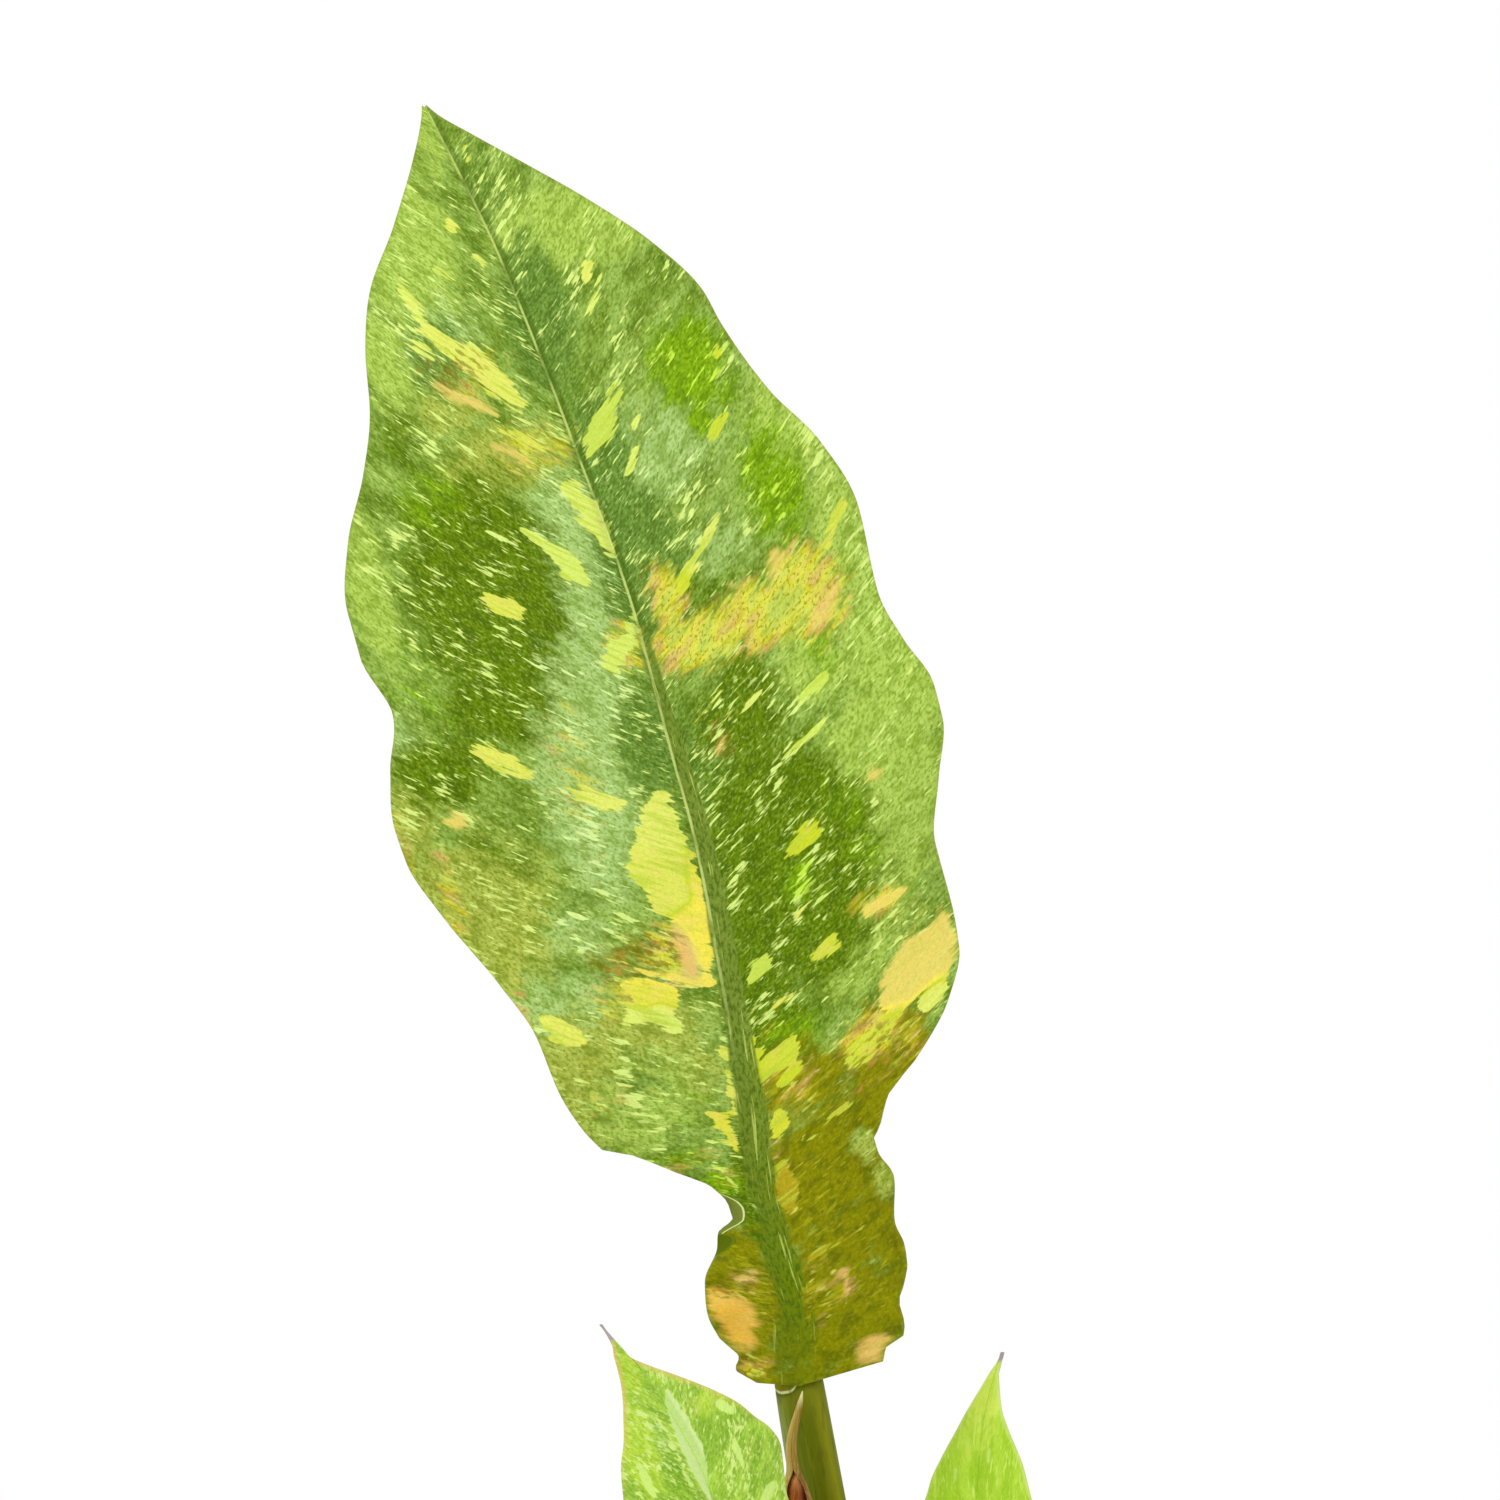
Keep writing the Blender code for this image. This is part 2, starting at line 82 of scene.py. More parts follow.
def smooth_shade(piece, degrees):
    """Smooth shading, with edges sharper than this many degrees left sharp."""
    deselect()
    piece.select_set(True)
    bpy.ops.object.shade_smooth_by_angle(angle=math.radians(degrees))


def join_pieces(pieces):
    """Joins several pieces into the first one, and returns it."""
    deselect()
    for piece in pieces:
        piece.select_set(True)
    bpy.context.view_layer.objects.active = pieces[0]
    bpy.ops.object.join()
    return bpy.context.object


def new_skin(name):
    """A material with nodes. Returns it, its node tree and its shader."""
    skin = bpy.data.materials.new(name)
    skin.use_nodes = True
    return skin, skin.node_tree, skin.node_tree.nodes["Principled BSDF"]


def curve(knots):
    """A function through the knots (x, y) that never swings past them. It takes arrays."""
    x, y = np.array(knots, float).T
    secant = np.diff(y) / np.diff(x)
    before, after = np.append(secant[0], secant), np.append(secant, secant[-1])
    same_way = before * after > 0
    slope = np.where(same_way, 2 * before * after / np.where(same_way, before + after, 1), 0)

    def value(at):
        at = np.clip(at, x[0], x[-1])
        i = np.clip(np.searchsorted(x, at) - 1, 0, len(secant) - 1)
        step = x[i + 1] - x[i]
        t = (at - x[i]) / step
        rise = y[i] * (1 + 2 * t) * (1 - t) ** 2 + y[i + 1] * t * t * (3 - 2 * t)
        return rise + slope[i] * step * t * (1 - t) ** 2 - slope[i + 1] * step * t * t * (1 - t)

    return value


def point_in(node, shares):
    """The point at these shares of a solid's box, in metres."""
    low, high = (np.array(c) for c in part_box(node))
    return low + (high - low) * np.array(shares)


print("a curve through (0, 0), (1, 1) passes 0.5 at", float(curve(((0, 0), (1, 1)))(0.5)))

# %% [markdown]
# ## Camera, light and floor
#
# The plant is looked at nearly level, from in front, and so close that only the tall blade and
# the tips of the lower ones are in view. A long lens keeps the sides parallel. The light is that
# of a white studio: white all round, with a large soft panel high on the left that lets the
# blade's waves show, and a weaker one on the right.

# %% Place the camera from the tall leaf's foot
CAMERA_DISTANCE = 0.95
CAMERA_RISE = math.radians(3.0)
VIEW_WIDTH = 0.192  # the width in view where the plant stands, in metres
SENSOR = 36.0  # millimetres
NEAREST_SEEN = 0.01
AIM_FROM_FOOT = Vector((-0.00627, 0.0, 0.08102))  # from the tall leaf's foot to mid view
TALL_FOOT = point_in("leaf_tall", (0.7422, 0.1835, 0.0029))
aim = Vector(TALL_FOOT) + AIM_FROM_FOOT

camera_data = bpy.data.cameras.new("camera")
camera_data.sensor_width = SENSOR
camera_data.lens = SENSOR * CAMERA_DISTANCE / VIEW_WIDTH
camera_data.clip_start = NEAREST_SEEN
camera = bpy.data.objects.new("camera", camera_data)
bpy.context.scene.collection.objects.link(camera)
towards = Vector((0.0, -math.cos(CAMERA_RISE), math.sin(CAMERA_RISE)))
camera.location = aim + towards * CAMERA_DISTANCE
camera.rotation_euler = towards.to_track_quat("Z", "Y").to_euler()
bpy.context.scene.camera = camera
bpy.context.scene.view_settings.view_transform = "Standard"
print("camera at", tuple(round(c, 4) for c in camera.location), "lens", round(camera_data.lens, 1))

# %% White room, two soft panels and the floor
ROOM_LIGHT = 0.74  # strength of the white all round; the camera itself sees it as pure white
FLOOR_RADIUS = 1.2
FLOOR_GREY = (0.86, 0.86, 0.85, 1)
world = bpy.data.worlds.new("white_room")
bpy.context.scene.world = world
world.use_nodes = True
room = world.node_tree
background = room.nodes["Background"]
background.inputs["Color"].default_value = (1.0, 1.0, 1.0, 1.0)
seen = room.nodes.new("ShaderNodeLightPath")
strength = room.nodes.new("ShaderNodeMapRange")
strength.inputs["To Min"].default_value = ROOM_LIGHT
strength.inputs["To Max"].default_value = 1.0
room.links.new(seen.outputs["Is Camera Ray"], strength.inputs["Value"])
room.links.new(strength.outputs["Result"], background.inputs["Strength"])


def soft_panel(name, place, size, power):
    """A square area light that faces the middle of the view, sized in metres and watts."""
    data = bpy.data.lights.new(name, "AREA")
    data.size = size
    data.energy = power
    panel = bpy.data.objects.new(name, data)
    bpy.context.scene.collection.objects.link(panel)
    panel.location = place
    panel.rotation_euler = (Vector(place) - aim).to_track_quat("Z", "Y").to_euler()


soft_panel("panel_left", (-0.75, -0.80, 1.05), 0.60, 7.0)
soft_panel("panel_right", (0.90, -0.70, 0.50), 0.70, 1.6)

deselect()
bpy.ops.mesh.primitive_circle_add(vertices=96, radius=FLOOR_RADIUS, fill_type="NGON")
floor = bpy.context.object
floor.name = "floor"
floor_paint, _, shader = new_skin("pale_floor")
shader.inputs["Base Color"].default_value = FLOOR_GREY
shader.inputs["Roughness"].default_value = 0.7
floor.data.materials.append(floor_paint)
print("floor of radius", FLOOR_RADIUS, "m")

# %% [markdown]
# ## Node helpers and the shared effects
#
# Every leaf skin uses the same few effects: streaks that run along the side veins, the fine
# grain of the cells, patches with torn edges, and a thin line along the margin. Each is built
# once as a node group with named inputs and outputs, and each skin sets its own values.

# %% Helpers for nodes
def feed(tree, socket, value):
    """Sets an input to a value, or links it to another node's output."""
    if isinstance(value, bpy.types.NodeSocket):
        tree.links.new(value, socket)
    else:
        socket.default_value = value


def add(tree, kind, inputs=None, **settings):
    """Adds a node. Each input is either a value or another node's output."""
    made = tree.nodes.new(kind)
    for key, value in settings.items():
        setattr(made, key, value)
    for key, value in (inputs or {}).items():
        feed(tree, made.inputs[key], value)
    return made


def maths(tree, operation, *values):
    return add(tree, "ShaderNodeMath", dict(enumerate(values)), operation=operation).outputs[0]


def times(tree, *values):
    """The product of two or more values."""
    product = values[0]
    for value in values[1:]:
        product = maths(tree, "MULTIPLY", product, value)
    return product


def paint(tree, factor, under, over, mode="MIX"):
    """One colour over another, by a mask from 0 to 1."""
    inputs = {"Factor": factor, 6: under, 7: over}  # 6 and 7 are the node's two colour inputs
    made = add(tree, "ShaderNodeMix", inputs, data_type="RGBA", blend_type=mode)
    return made.outputs[2]


def ramp(tree, value, low, high, to_low=0.0, to_high=1.0):
    """A smooth step from to_low to to_high, as the value goes from low to high."""
    inputs = {"Value": value, "From Min": low, "From Max": high,
              "To Min": to_low, "To Max": to_high}
    made = add(tree, "ShaderNodeMapRange", inputs, interpolation_type="SMOOTHSTEP")
    return made.outputs["Result"]


def split(tree, vector):
    return add(tree, "ShaderNodeSeparateXYZ", {"Vector": vector}).outputs


def join(tree, x, y, z):
    return add(tree, "ShaderNodeCombineXYZ", {"X": x, "Y": y, "Z": z}).outputs["Vector"]


def noise(tree, vector, scale, detail, roughness):
    inputs = {"Vector": vector, "Scale": scale, "Detail": detail, "Roughness": roughness}
    return add(tree, "ShaderNodeTexNoise", inputs, noise_dimensions="3D").outputs["Fac"]


def stored(tree, name):
    """A vector that the mesh carries at each of its points."""
    return add(tree, "ShaderNodeAttribute", attribute_name=name).outputs["Vector"]


def colour_ramp(tree, value, stops):
    """A colour that changes with a value, through (position, colour) stops."""
    made = add(tree, "ShaderNodeValToRGB", {"Fac": value})
    elements = made.color_ramp.elements
    elements[0].position, elements[0].color = stops[0]
    elements[1].position, elements[1].color = stops[-1]
    for position, tint in stops[1:-1]:
        elements.new(position).color = tint
    return made.outputs["Color"]


def finish_skin(tree, shader, tint, rough, relief, strength, depth, gloss=0.5):
    """Wires colour, roughness and relief into a skin's shader. Depth is that of the relief."""
    feed(tree, shader.inputs["Base Color"], tint)
    feed(tree, shader.inputs["Roughness"], rough)
    inputs = {"Height": relief, "Strength": strength, "Distance": depth}
    bump = add(tree, "ShaderNodeBump", inputs)
    tree.links.new(bump.outputs["Normal"], shader.inputs["Normal"])
    shader.inputs["Specular IOR Level"].default_value = gloss


node_helpers = (add, maths, times, paint, ramp, split, join, noise, stored, colour_ramp)
print("node helpers:", ", ".join(helper.__name__ for helper in node_helpers))

# %% Colours and shared effects
def colour(text):
    """A colour written as #rrggbb, as the linear values that a shader takes."""
    parts = [int(text[i:i + 2], 16) / 255 for i in (1, 3, 5)]
    linear = (p / 12.92 if p <= 0.04045 else ((p + 0.055) / 1.055) ** 2.4 for p in parts)
    return (*linear, 1.0)


FLOAT, VECTOR = "NodeSocketFloat", "NodeSocketVector"


def effect(name, inputs, outputs):
    """An empty node group with its sockets. Returns the group, its input and its output node."""
    group = bpy.data.node_groups.new(name, "ShaderNodeTree")
    for label, kind, value in inputs:
        socket = group.interface.new_socket(label, in_out="INPUT", socket_type=kind)
        if value is not None:
            socket.default_value = value
    for label in outputs:
        group.interface.new_socket(label, in_out="OUTPUT", socket_type=FLOAT)
    given = group.nodes.new("NodeGroupInput").outputs
    gives = group.nodes.new("NodeGroupOutput").inputs
    return group, given, gives


def use(tree, group, **inputs):
    """Places a shared effect in a material, and returns its outputs."""
    return add(tree, "ShaderNodeGroup", inputs, node_tree=group).outputs


print("helpers ready; leaf green is", tuple(round(c, 3) for c in colour("#6a8a20")))

# %% [markdown]
# ### Streaks along the veins
#
# The speckles of a variegated leaf are short streaks, because the cells that lost their green
# grew along the side veins. Every blade carries a UV map called `vein`: its first value is the
# height, in millimetres, at which the side vein through a point leaves the midrib, and its
# second is the distance out from the midrib. A noise that changes quickly with the first and
# slowly with the second gives streaks that follow the veins wherever these bend.

# %% Streak, grain and torn-edge effects
def streak_mask(tree, raw, given, gives):
    """Ends an effect with its raw noise, and with a mask that steps softly at a level."""
    low = maths(tree, "SUBTRACT", given["Level"], given["Soft"])
    high = maths(tree, "ADD", given["Level"], given["Soft"])
    tree.links.new(ramp(tree, raw, low, high), gives["Mask"])
    tree.links.new(raw, gives["Raw"])


def centred_sum(tree, fine, fine_share, wide):
    """Two noises as one that swings about 0, the fine one weighed by its share."""
    return maths(tree, "MULTIPLY_ADD", maths(tree, "SUBTRACT", fine, 0.5), fine_share,
                 maths(tree, "SUBTRACT", wide, 0.5))


streaks, given, gives = effect(
    "vein_streaks",
    [("Vein", VECTOR, None), ("Across", FLOAT, 1.3), ("Along", FLOAT, 0.3),
     ("Level", FLOAT, 0.6), ("Soft", FLOAT, 0.03), ("Seed", FLOAT, 0.0)],
    ["Mask", "Raw"],
)
place = split(streaks, given["Vein"])
stretched = join(streaks, times(streaks, place["X"], given["Across"]),
                 times(streaks, place["Y"], given["Along"]), given["Seed"])
streak_mask(streaks, noise(streaks, stretched, 1.0, 2.0, 0.55), given, gives)

grain, given, gives = effect(
    "cell_grain",
    [("Vein", VECTOR, None), ("Size", FLOAT, 2.2), ("Amount", FLOAT, 0.3)],
    ["Shade", "Height"],
)
place = split(grain, given["Vein"])
flattened = join(grain, place["X"], times(grain, place["Y"], 0.55), 4.0)
cells = noise(grain, flattened, given["Size"], 2.5, 0.6)
centred = maths(grain, "SUBTRACT", cells, 0.5)
grain.links.new(maths(grain, "ADD", times(grain, centred, given["Amount"]), 1.0), gives["Shade"])
grain.links.new(cells, gives["Height"])

torn, given, gives = effect(
    "torn_patch",
    [("Field", FLOAT, 0.0), ("Vein", VECTOR, None), ("Tear", FLOAT, 2.4), ("Soft", FLOAT, 0.12),
     ("Seed", FLOAT, 0.0)],
    ["Mask"],
)
wide = use(torn, streaks, Vein=given["Vein"], Across=0.8, Along=0.13, Seed=given["Seed"])["Raw"]
fine = use(torn, streaks, Vein=given["Vein"], Across=2.3, Along=0.28, Seed=given["Seed"])["Raw"]
comb = centred_sum(torn, fine, 0.5, wide)
torn_edge = maths(torn, "MULTIPLY_ADD", comb, given["Tear"], given["Field"])
below = times(torn, given["Soft"], -1.0)
torn.links.new(ramp(torn, torn_edge, below, given["Soft"]), gives["Mask"])
print("shared effects:", streaks.name, grain.name, torn.name)

# %% [markdown]
# ## How a blade is shaped
#
# A blade is a grid of thin rows. Each row follows a side vein, from one margin in to the midrib
# and out to the other margin, so the mesh runs the way the real tissue does. A grid primitive
# gives the rows and columns, and each of its points is then moved to its place on the leaf:
# across and along in shares of the leaf's length, and out of the leaf's plane by its relief.
# Moving points by a rule is the one way to give a grid a wavy outline and a relief at once.

# %% The leaf's own axes and the rows of its grid
ROW_STEP = 0.0006  # the least step between margin points, so that rows never cross
CLOSEST_ROW = 0.28  # of the usual spacing: a row nearer than this to the last is left out
LAST_ROW = 0.998  # of the midrib's length


def leaf_frame(tilt, lean, turn):
    """Columns: across the leaf, out of its upper face, and along it towards the tip."""
    tilt, lean, turn = (math.radians(angle) for angle in (tilt, lean, turn))
    return np.array(Matrix.Rotation(tilt, 3, "Y") @ Matrix.Rotation(-lean, 3, "X")
                    @ Matrix.Rotation(turn, 3, "Z"))


def blade_length(node, upright):
    """A blade's length, of which a share stands upright: the height of its solid's box."""
    low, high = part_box(node)
    return (high[2] - low[2]) / upright


def margin_by_root(outline, climb, midrib):
    """The margin as two curves, by the height at which each point's side vein leaves the midrib."""
    climbs, middle = curve(climb), curve(midrib)
    across, along, last = [], [], -1.0
    for u, v in outline:
        root = max(v - float(climbs(v)) * abs(u - float(middle(v))), last + ROW_STEP)
        across.append((root, u))
        along.append((root, v))
        last = root
    return across, along


def vein_rows(edges, spacing):
    """Evenly spaced rows, with one more wherever the margin has a point of its own."""
    roots = set(np.arange(0.0, LAST_ROW, spacing)) | {LAST_ROW}
    roots |= {root for across, _ in edges for root, _ in across if 0 < root < LAST_ROW}
    rows = []
    for root in sorted(roots):
        if not rows or root - rows[-1] > spacing * CLOSEST_ROW:
            rows.append(root)
    return np.array(rows)


def column_shares(count):
    """Shares of the way from midrib to margin, closer together at the midrib."""
    share = np.linspace(0, 1, count) ** 1.15
    return share * 0.985 + 0.015 * share ** 6


print("leaf axes at a tilt of 10 degrees:\n", leaf_frame(10, 0, 0).round(3))

# %% [markdown]
# ### Relief
#
# On the real leaf the midrib lies in a groove, the two halves rise from it like a shallow trough
# and roll over towards their margins, the margins wave, and the side veins press faint furrows
# into the upper face. Below, the midrib stands out as a round keel. The blade is 0.8 mm thick at
# the midrib and thins to about a third of that at its margin.
#
# A leaf's own values say how strong each of these is. Lengths in them are shares of the leaf's
# length, and so are those of the fine relief here, except where a name or a note says metres.

# %% The relief of one half of a blade
VEIN_SPACING = 0.030
FURROW = 0.0005  # depth of a side vein's furrow on the upper face
VEIN_BELOW = 0.0003  # and how far the vein stands out below
BLADE_THICKNESS = 0.0008  # metres, at the midrib
EDGE_THICKNESS = 0.00028  # metres, at the margin
FULL_WAVE_WIDTH = 0.12  # a half narrower than this waves less
FULL_FURROW_OUT = 0.03  # furrows start at the midrib and are full from here on out
CRINKLES = 33  # fine waves over the length, all of them near the foot
CRINKLE_REACH = 0.16
NEVER_ZERO = 1e-6


def half_blade(leaf, side, rows, across, along):
    """Half a blade, 0 the left and 1 the right: arrays of rows by columns from the midrib."""
    shape, length = leaf["shape"], leaf["length"]
    middle, row = curve(leaf["midrib"]), rows[:, None]
    share = column_shares(leaf["columns"])
    mid = np.stack([middle(rows), rows], -1)[:, None, :]
    end = np.stack([curve(across)(rows), curve(along)(rows)], -1)[:, None, :]
    width = np.linalg.norm(end - mid, axis=-1)
    flat = mid + (end - mid) * share[None, :, None]
    u, v = flat[..., 0], flat[..., 1]
    out = width * share
    keel = np.minimum(shape["keel"] * (1 - 0.93 * row) ** 1.3, width * 0.4)

    # The broad form: the trough and its roll, the waves, the bow of the whole leaf.
    wave = np.sin(math.tau * shape["ripples"] * v + shape["phase"][side])
    height = width * (shape["fold"] * share - shape["sag"] * share ** 2)
    height = height + shape["ripple"] * wave * share ** 2 * np.minimum(width / FULL_WAVE_WIDTH, 1)
    height = height + shape["arch"] * 4 * v * (1 - v)

    # Crinkles round the foot, and the lifted margin at the waist of the left half.
    fading = np.exp(-(v / CRINKLE_REACH) ** 4)
    crinkle = np.sin(math.tau * CRINKLES * v + side) * share ** 4 * fading
    height = height + shape["crinkle"] * crinkle
    if side == 0 and shape["curl"]:
        centre, half, lift = shape["curl"]
        height = height + lift * np.exp(-((row - centre) / half) ** 2) * share ** 6

    # Side veins and midrib, pressed in above and standing out below.
    vein = v - curve(leaf["climbs"][side])(v) * np.abs(u - middle(v))
    away = np.clip(out / FULL_FURROW_OUT, 0, 1) * np.clip((1 - share) / 0.12, 0, 1)
    furrow = np.maximum(np.cos(math.tau * vein / VEIN_SPACING), 0) ** 8
    groove = np.exp(-(out / (keel * 0.75 + NEVER_ZERO)) ** 2)
    height = height - FURROW * furrow * away - shape["groove"] * groove * (1 - 0.8 * row)
    thin = BLADE_THICKNESS + (EDGE_THICKNESS - BLADE_THICKNESS) * share ** 3
    below = thin / length + 1.5 * keel * np.sqrt(np.clip(1 - (out / keel) ** 2, 0, 1))
    below = below + VEIN_BELOW * furrow * away

    # For the skin, in millimetres: the distances from margin and midrib, and the vein's height.
    # The band is the midrib's, from 1 on it to -1 beside it, and a little wider at the foot.
    wider = 1 + 0.15 * np.exp(-(row / 0.10) ** 2)
    band = np.clip(1.15 - out / (keel * wider + NEVER_ZERO), -1, 1)
    signed = (-1, 1)[side] * out
    return dict(u=u, v=v, height=height, below=below, rim=(width - out) * length / MM,
                vein=vein * length / MM, out=signed * length / MM, band=band)


def blade_points(leaf):
    """All that is known of each point of a blade's grid, as arrays of rows by columns."""
    edges = [margin_by_root(outline, climb, leaf["midrib"])
             for outline, climb in zip(leaf["outlines"], leaf["climbs"])]
    rows = vein_rows(edges, leaf["spacing"])
    left, right = (half_blade(leaf, side, rows, *edge) for side, edge in enumerate(edges))
    return {key: np.concatenate([left[key][:, :0:-1], right[key]], axis=1) for key in left}


print("side veins every", VEIN_SPACING, "of a leaf's length")

# %% [markdown]
# ### Marks and tones
#
# The variegation has two scales. The large yellow marks are written down one by one, each as a
# brush stroke: a few points across and along the leaf, in thousandths of its length, each with
# the stroke's half width, and one number for its yellow, from a dull one at 0 over lime and clear
# yellow to orange at 1. The mesh stores only how deep inside a stroke each point lies, in
# millimetres, so the skin can tear the edge finely. The broad changes of green are soft ovals:
# centre across and along, half sizes, and strength. The sheen among them is a painted reflection
# of the white room in the glossy blade, and the pale tone along the tall blade's margins is partly
# their own lighter green and partly a painted reflection.

# %% Strokes and soft ovals as fields over the leaf
LEAF_VALUES = {  # what the mesh carries: the name of each vector, and of its three parts
    "leaf_place": ("across", "along", "rim"),
    "leaf_marks": ("inside", "warmth", "band"),
    "leaf_light": ("deep", "pale", "sheen"),
    "leaf_warmth": ("olive", "scatter", "blush"),
    "leaf_depth": ("emerald", "dusk", "straw"),
}
TONES = [key for keys in list(LEAF_VALUES.values())[2:] for key in keys]
OUTSIDE = -50.0  # the depth of a point that is far from every mark
BLEND = 2.5  # over how many thousandths two marks' colours run together


def marks_field(u, v, marks, length):
    """How far inside the nearest mark each point lies, in mm, and how warm that mark is."""
    depth = np.full(u.shape, OUTSIDE)
    warm_sum, weight_sum = np.zeros(u.shape), np.full(u.shape, 1e-9)
    for _, warm, points in marks:
        for (u0, v0, w0), (u1, v1, w1) in zip(points, points[1:]):
            along = np.array((u1 - u0, v1 - v0), float)
            t = np.clip(((u - u0) * along[0] + (v - v0) * along[1]) / (along @ along), 0, 1)
            gap = np.hypot(u - u0 - along[0] * t, v - v0 - along[1] * t)
            inside = w0 + (w1 - w0) * t - gap
            depth = np.maximum(depth, inside)
            weight = np.exp(np.clip(inside, -60, 60) / BLEND)
            warm_sum += warm * weight
            weight_sum += weight
    return depth * length, warm_sum / weight_sum


def tone_field(u, v, ovals):
    """The strongest of several soft ovals at each point. An oval below 0 clears the others."""
    found, cleared = np.zeros(u.shape), np.ones(u.shape)
    for _, across, along, half_across, half_along, strength in ovals:
        reach = np.hypot((u - across) / half_across, (v - along) / half_along)
        oval = strength * np.exp(-0.7 * reach ** 3)
        found = np.maximum(found, oval)
        cleared = cleared * (1 + np.minimum(oval, 0))
    return found * cleared


print("tones stored on each blade:", ", ".join(TONES))

# %% One function that makes any blade
def store_leaf_values(mesh, value, leaf):
    """The vein map, and the values that the leaf's skin reads, for both faces."""
    corner_vertex = np.empty(len(mesh.loops), np.int32)
    mesh.loops.foreach_get("vertex_index", corner_vertex)
    veins = np.tile(np.stack([value["vein"], value["out"]], -1), (2, 1))
    layer = mesh.uv_layers.new(name="vein")
    layer.data.foreach_set("uv", veins[corner_vertex].ravel())
    u, v = value["u"] * 1000, value["v"] * 1000
    known = {key: tone_field(u, v, leaf["tones"].get(key, ())) for key in TONES}
    known["inside"], known["warmth"] = marks_field(u, v, leaf["marks"], leaf["length"])
    known.update(across=value["u"], along=value["v"], rim=value["rim"], band=value["band"])
    for name, keys in LEAF_VALUES.items():
        layer = mesh.attributes.new(name, "FLOAT_VECTOR", "POINT")
        rows = np.stack([known[key] for key in keys], -1)
        layer.data.foreach_set("vector", np.tile(rows, (2, 1)).ravel())


def make_blade(name, leaf):
    """A blade as one closed thin shell, its upper face in material slot 0, its lower in slot 1."""
    points = blade_points(leaf)
    tall, wide = points["u"].shape
    deselect()
    bpy.ops.mesh.primitive_grid_add(x_subdivisions=wide - 1, y_subdivisions=tall - 1, size=1.0)
    blade = bpy.context.object
    blade.name = blade.data.name = name
    apply_modifier(blade, "thickness", "SOLIDIFY", thickness=BLADE_THICKNESS, offset=-1.0,
                   material_offset=1)
    mesh = blade.data
    start = np.empty(len(mesh.vertices) * 3)
    mesh.vertices.foreach_get("co", start)
    start = start.reshape(-1, 3)[:tall * wide]
    row = np.rint((start[:, 1] + 0.5) * (tall - 1)).astype(int)
    column = np.rint((start[:, 0] + 0.5) * (wide - 1)).astype(int)
    value = {key: points[key][row, column] for key in points}
    none = 0 * value["u"]
    upper = np.stack([value["u"], -value["height"], value["v"]], -1)
    lower = upper + np.stack([none, value["below"], none], -1)
    shell = np.concatenate([upper, lower]) * leaf["length"]
    mesh.vertices.foreach_set("co", (shell @ leaf["frame"].T + leaf["foot"]).ravel())
    store_leaf_values(mesh, value, leaf)
    mesh.update()
    smooth_shade(blade, 50)
    print(name, "has", tall, "rows by", wide, "columns and", len(mesh.polygons), "faces")
    return blade


# %% [markdown]
# ## The tall blade
#
# The blade is long and waisted: below its wide upper part it narrows almost to the midrib on the
# left, and then spreads into two small ears round the stalk's end.

# %% The tall blade's outline and veins
FOOT_DROP = 0.0009  # how far the blade's foot laps down over its stalk
TALL = dict(
    length=blade_length("leaf_tall", 0.9391),
    foot=TALL_FOOT + np.array((0.0, 0.0, -FOOT_DROP)),
    frame=leaf_frame(-16.48, 7.0, 0.0),
    midrib=(
        (0.0, 0.0), (0.06, 0.013), (0.09, 0.0135), (0.128, 0.0145), (0.17, 0.020), (0.20, 0.0255),
        (0.24, 0.030), (0.30, 0.037), (0.43, 0.048), (0.58, 0.046), (0.73, 0.0365), (0.87, 0.023),
        (1.0, 0.0),
    ),
    outlines=((
        (-0.018, 0.006), (-0.034, 0.014), (-0.041, 0.025), (-0.036, 0.034), (-0.046, 0.051),
        (-0.049, 0.068), (-0.044, 0.094), (-0.029, 0.114), (-0.024, 0.126), (-0.011, 0.133),
        (-0.011, 0.143), (-0.019, 0.159), (-0.042, 0.177), (-0.069, 0.198), (-0.089, 0.208),
        (-0.100, 0.231), (-0.107, 0.258), (-0.111, 0.300), (-0.127, 0.346), (-0.154, 0.408),
        (-0.167, 0.450), (-0.168, 0.475), (-0.159, 0.518), (-0.146, 0.561), (-0.158, 0.606),
        (-0.158, 0.640), (-0.144, 0.689), (-0.118, 0.736), (-0.101, 0.779), (-0.092, 0.828),
        (-0.078, 0.870), (-0.047, 0.914), (-0.020, 0.957), (-0.004, 0.990), (-0.001, 1.000),
    ), (
        (0.018, -0.005), (0.042, -0.003), (0.064, -0.001), (0.071, 0.010), (0.085, 0.014),
        (0.089, 0.027), (0.089, 0.038), (0.096, 0.050), (0.103, 0.064), (0.105, 0.080),
        (0.103, 0.094), (0.112, 0.130), (0.106, 0.150), (0.106, 0.160), (0.111, 0.165),
        (0.126, 0.188), (0.154, 0.208), (0.187, 0.241), (0.206, 0.276), (0.210, 0.312),
        (0.211, 0.355), (0.227, 0.400), (0.242, 0.440), (0.243, 0.466), (0.231, 0.506),
        (0.223, 0.545), (0.227, 0.610), (0.214, 0.662), (0.188, 0.712), (0.168, 0.772),
        (0.162, 0.800), (0.137, 0.844), (0.102, 0.887), (0.057, 0.936), (0.029, 0.966),
        (0.008, 0.989), (0.001, 1.000),
    )),
    climbs=((
        (0.0, 0.30), (0.05, 0.50), (0.14, 0.50), (0.20, 0.38), (0.30, 0.52), (0.45, 0.66),
        (0.60, 0.84), (0.75, 1.05), (0.90, 1.30), (1.0, 1.35),
    ), (
        (0.0, 0.0), (0.10, 0.35), (0.20, 0.44), (0.45, 0.54), (0.65, 0.68), (1.0, 0.80),
    )),
    shape=dict(keel=0.0170, fold=0.16, sag=0.13, ripple=0.010, ripples=4.2, phase=(0.6, 2.6),
               arch=0.060, groove=0.0045, crinkle=0.0035, curl=(0.135, 0.012, 0.016)),
    spacing=0.0036, columns=55,
)
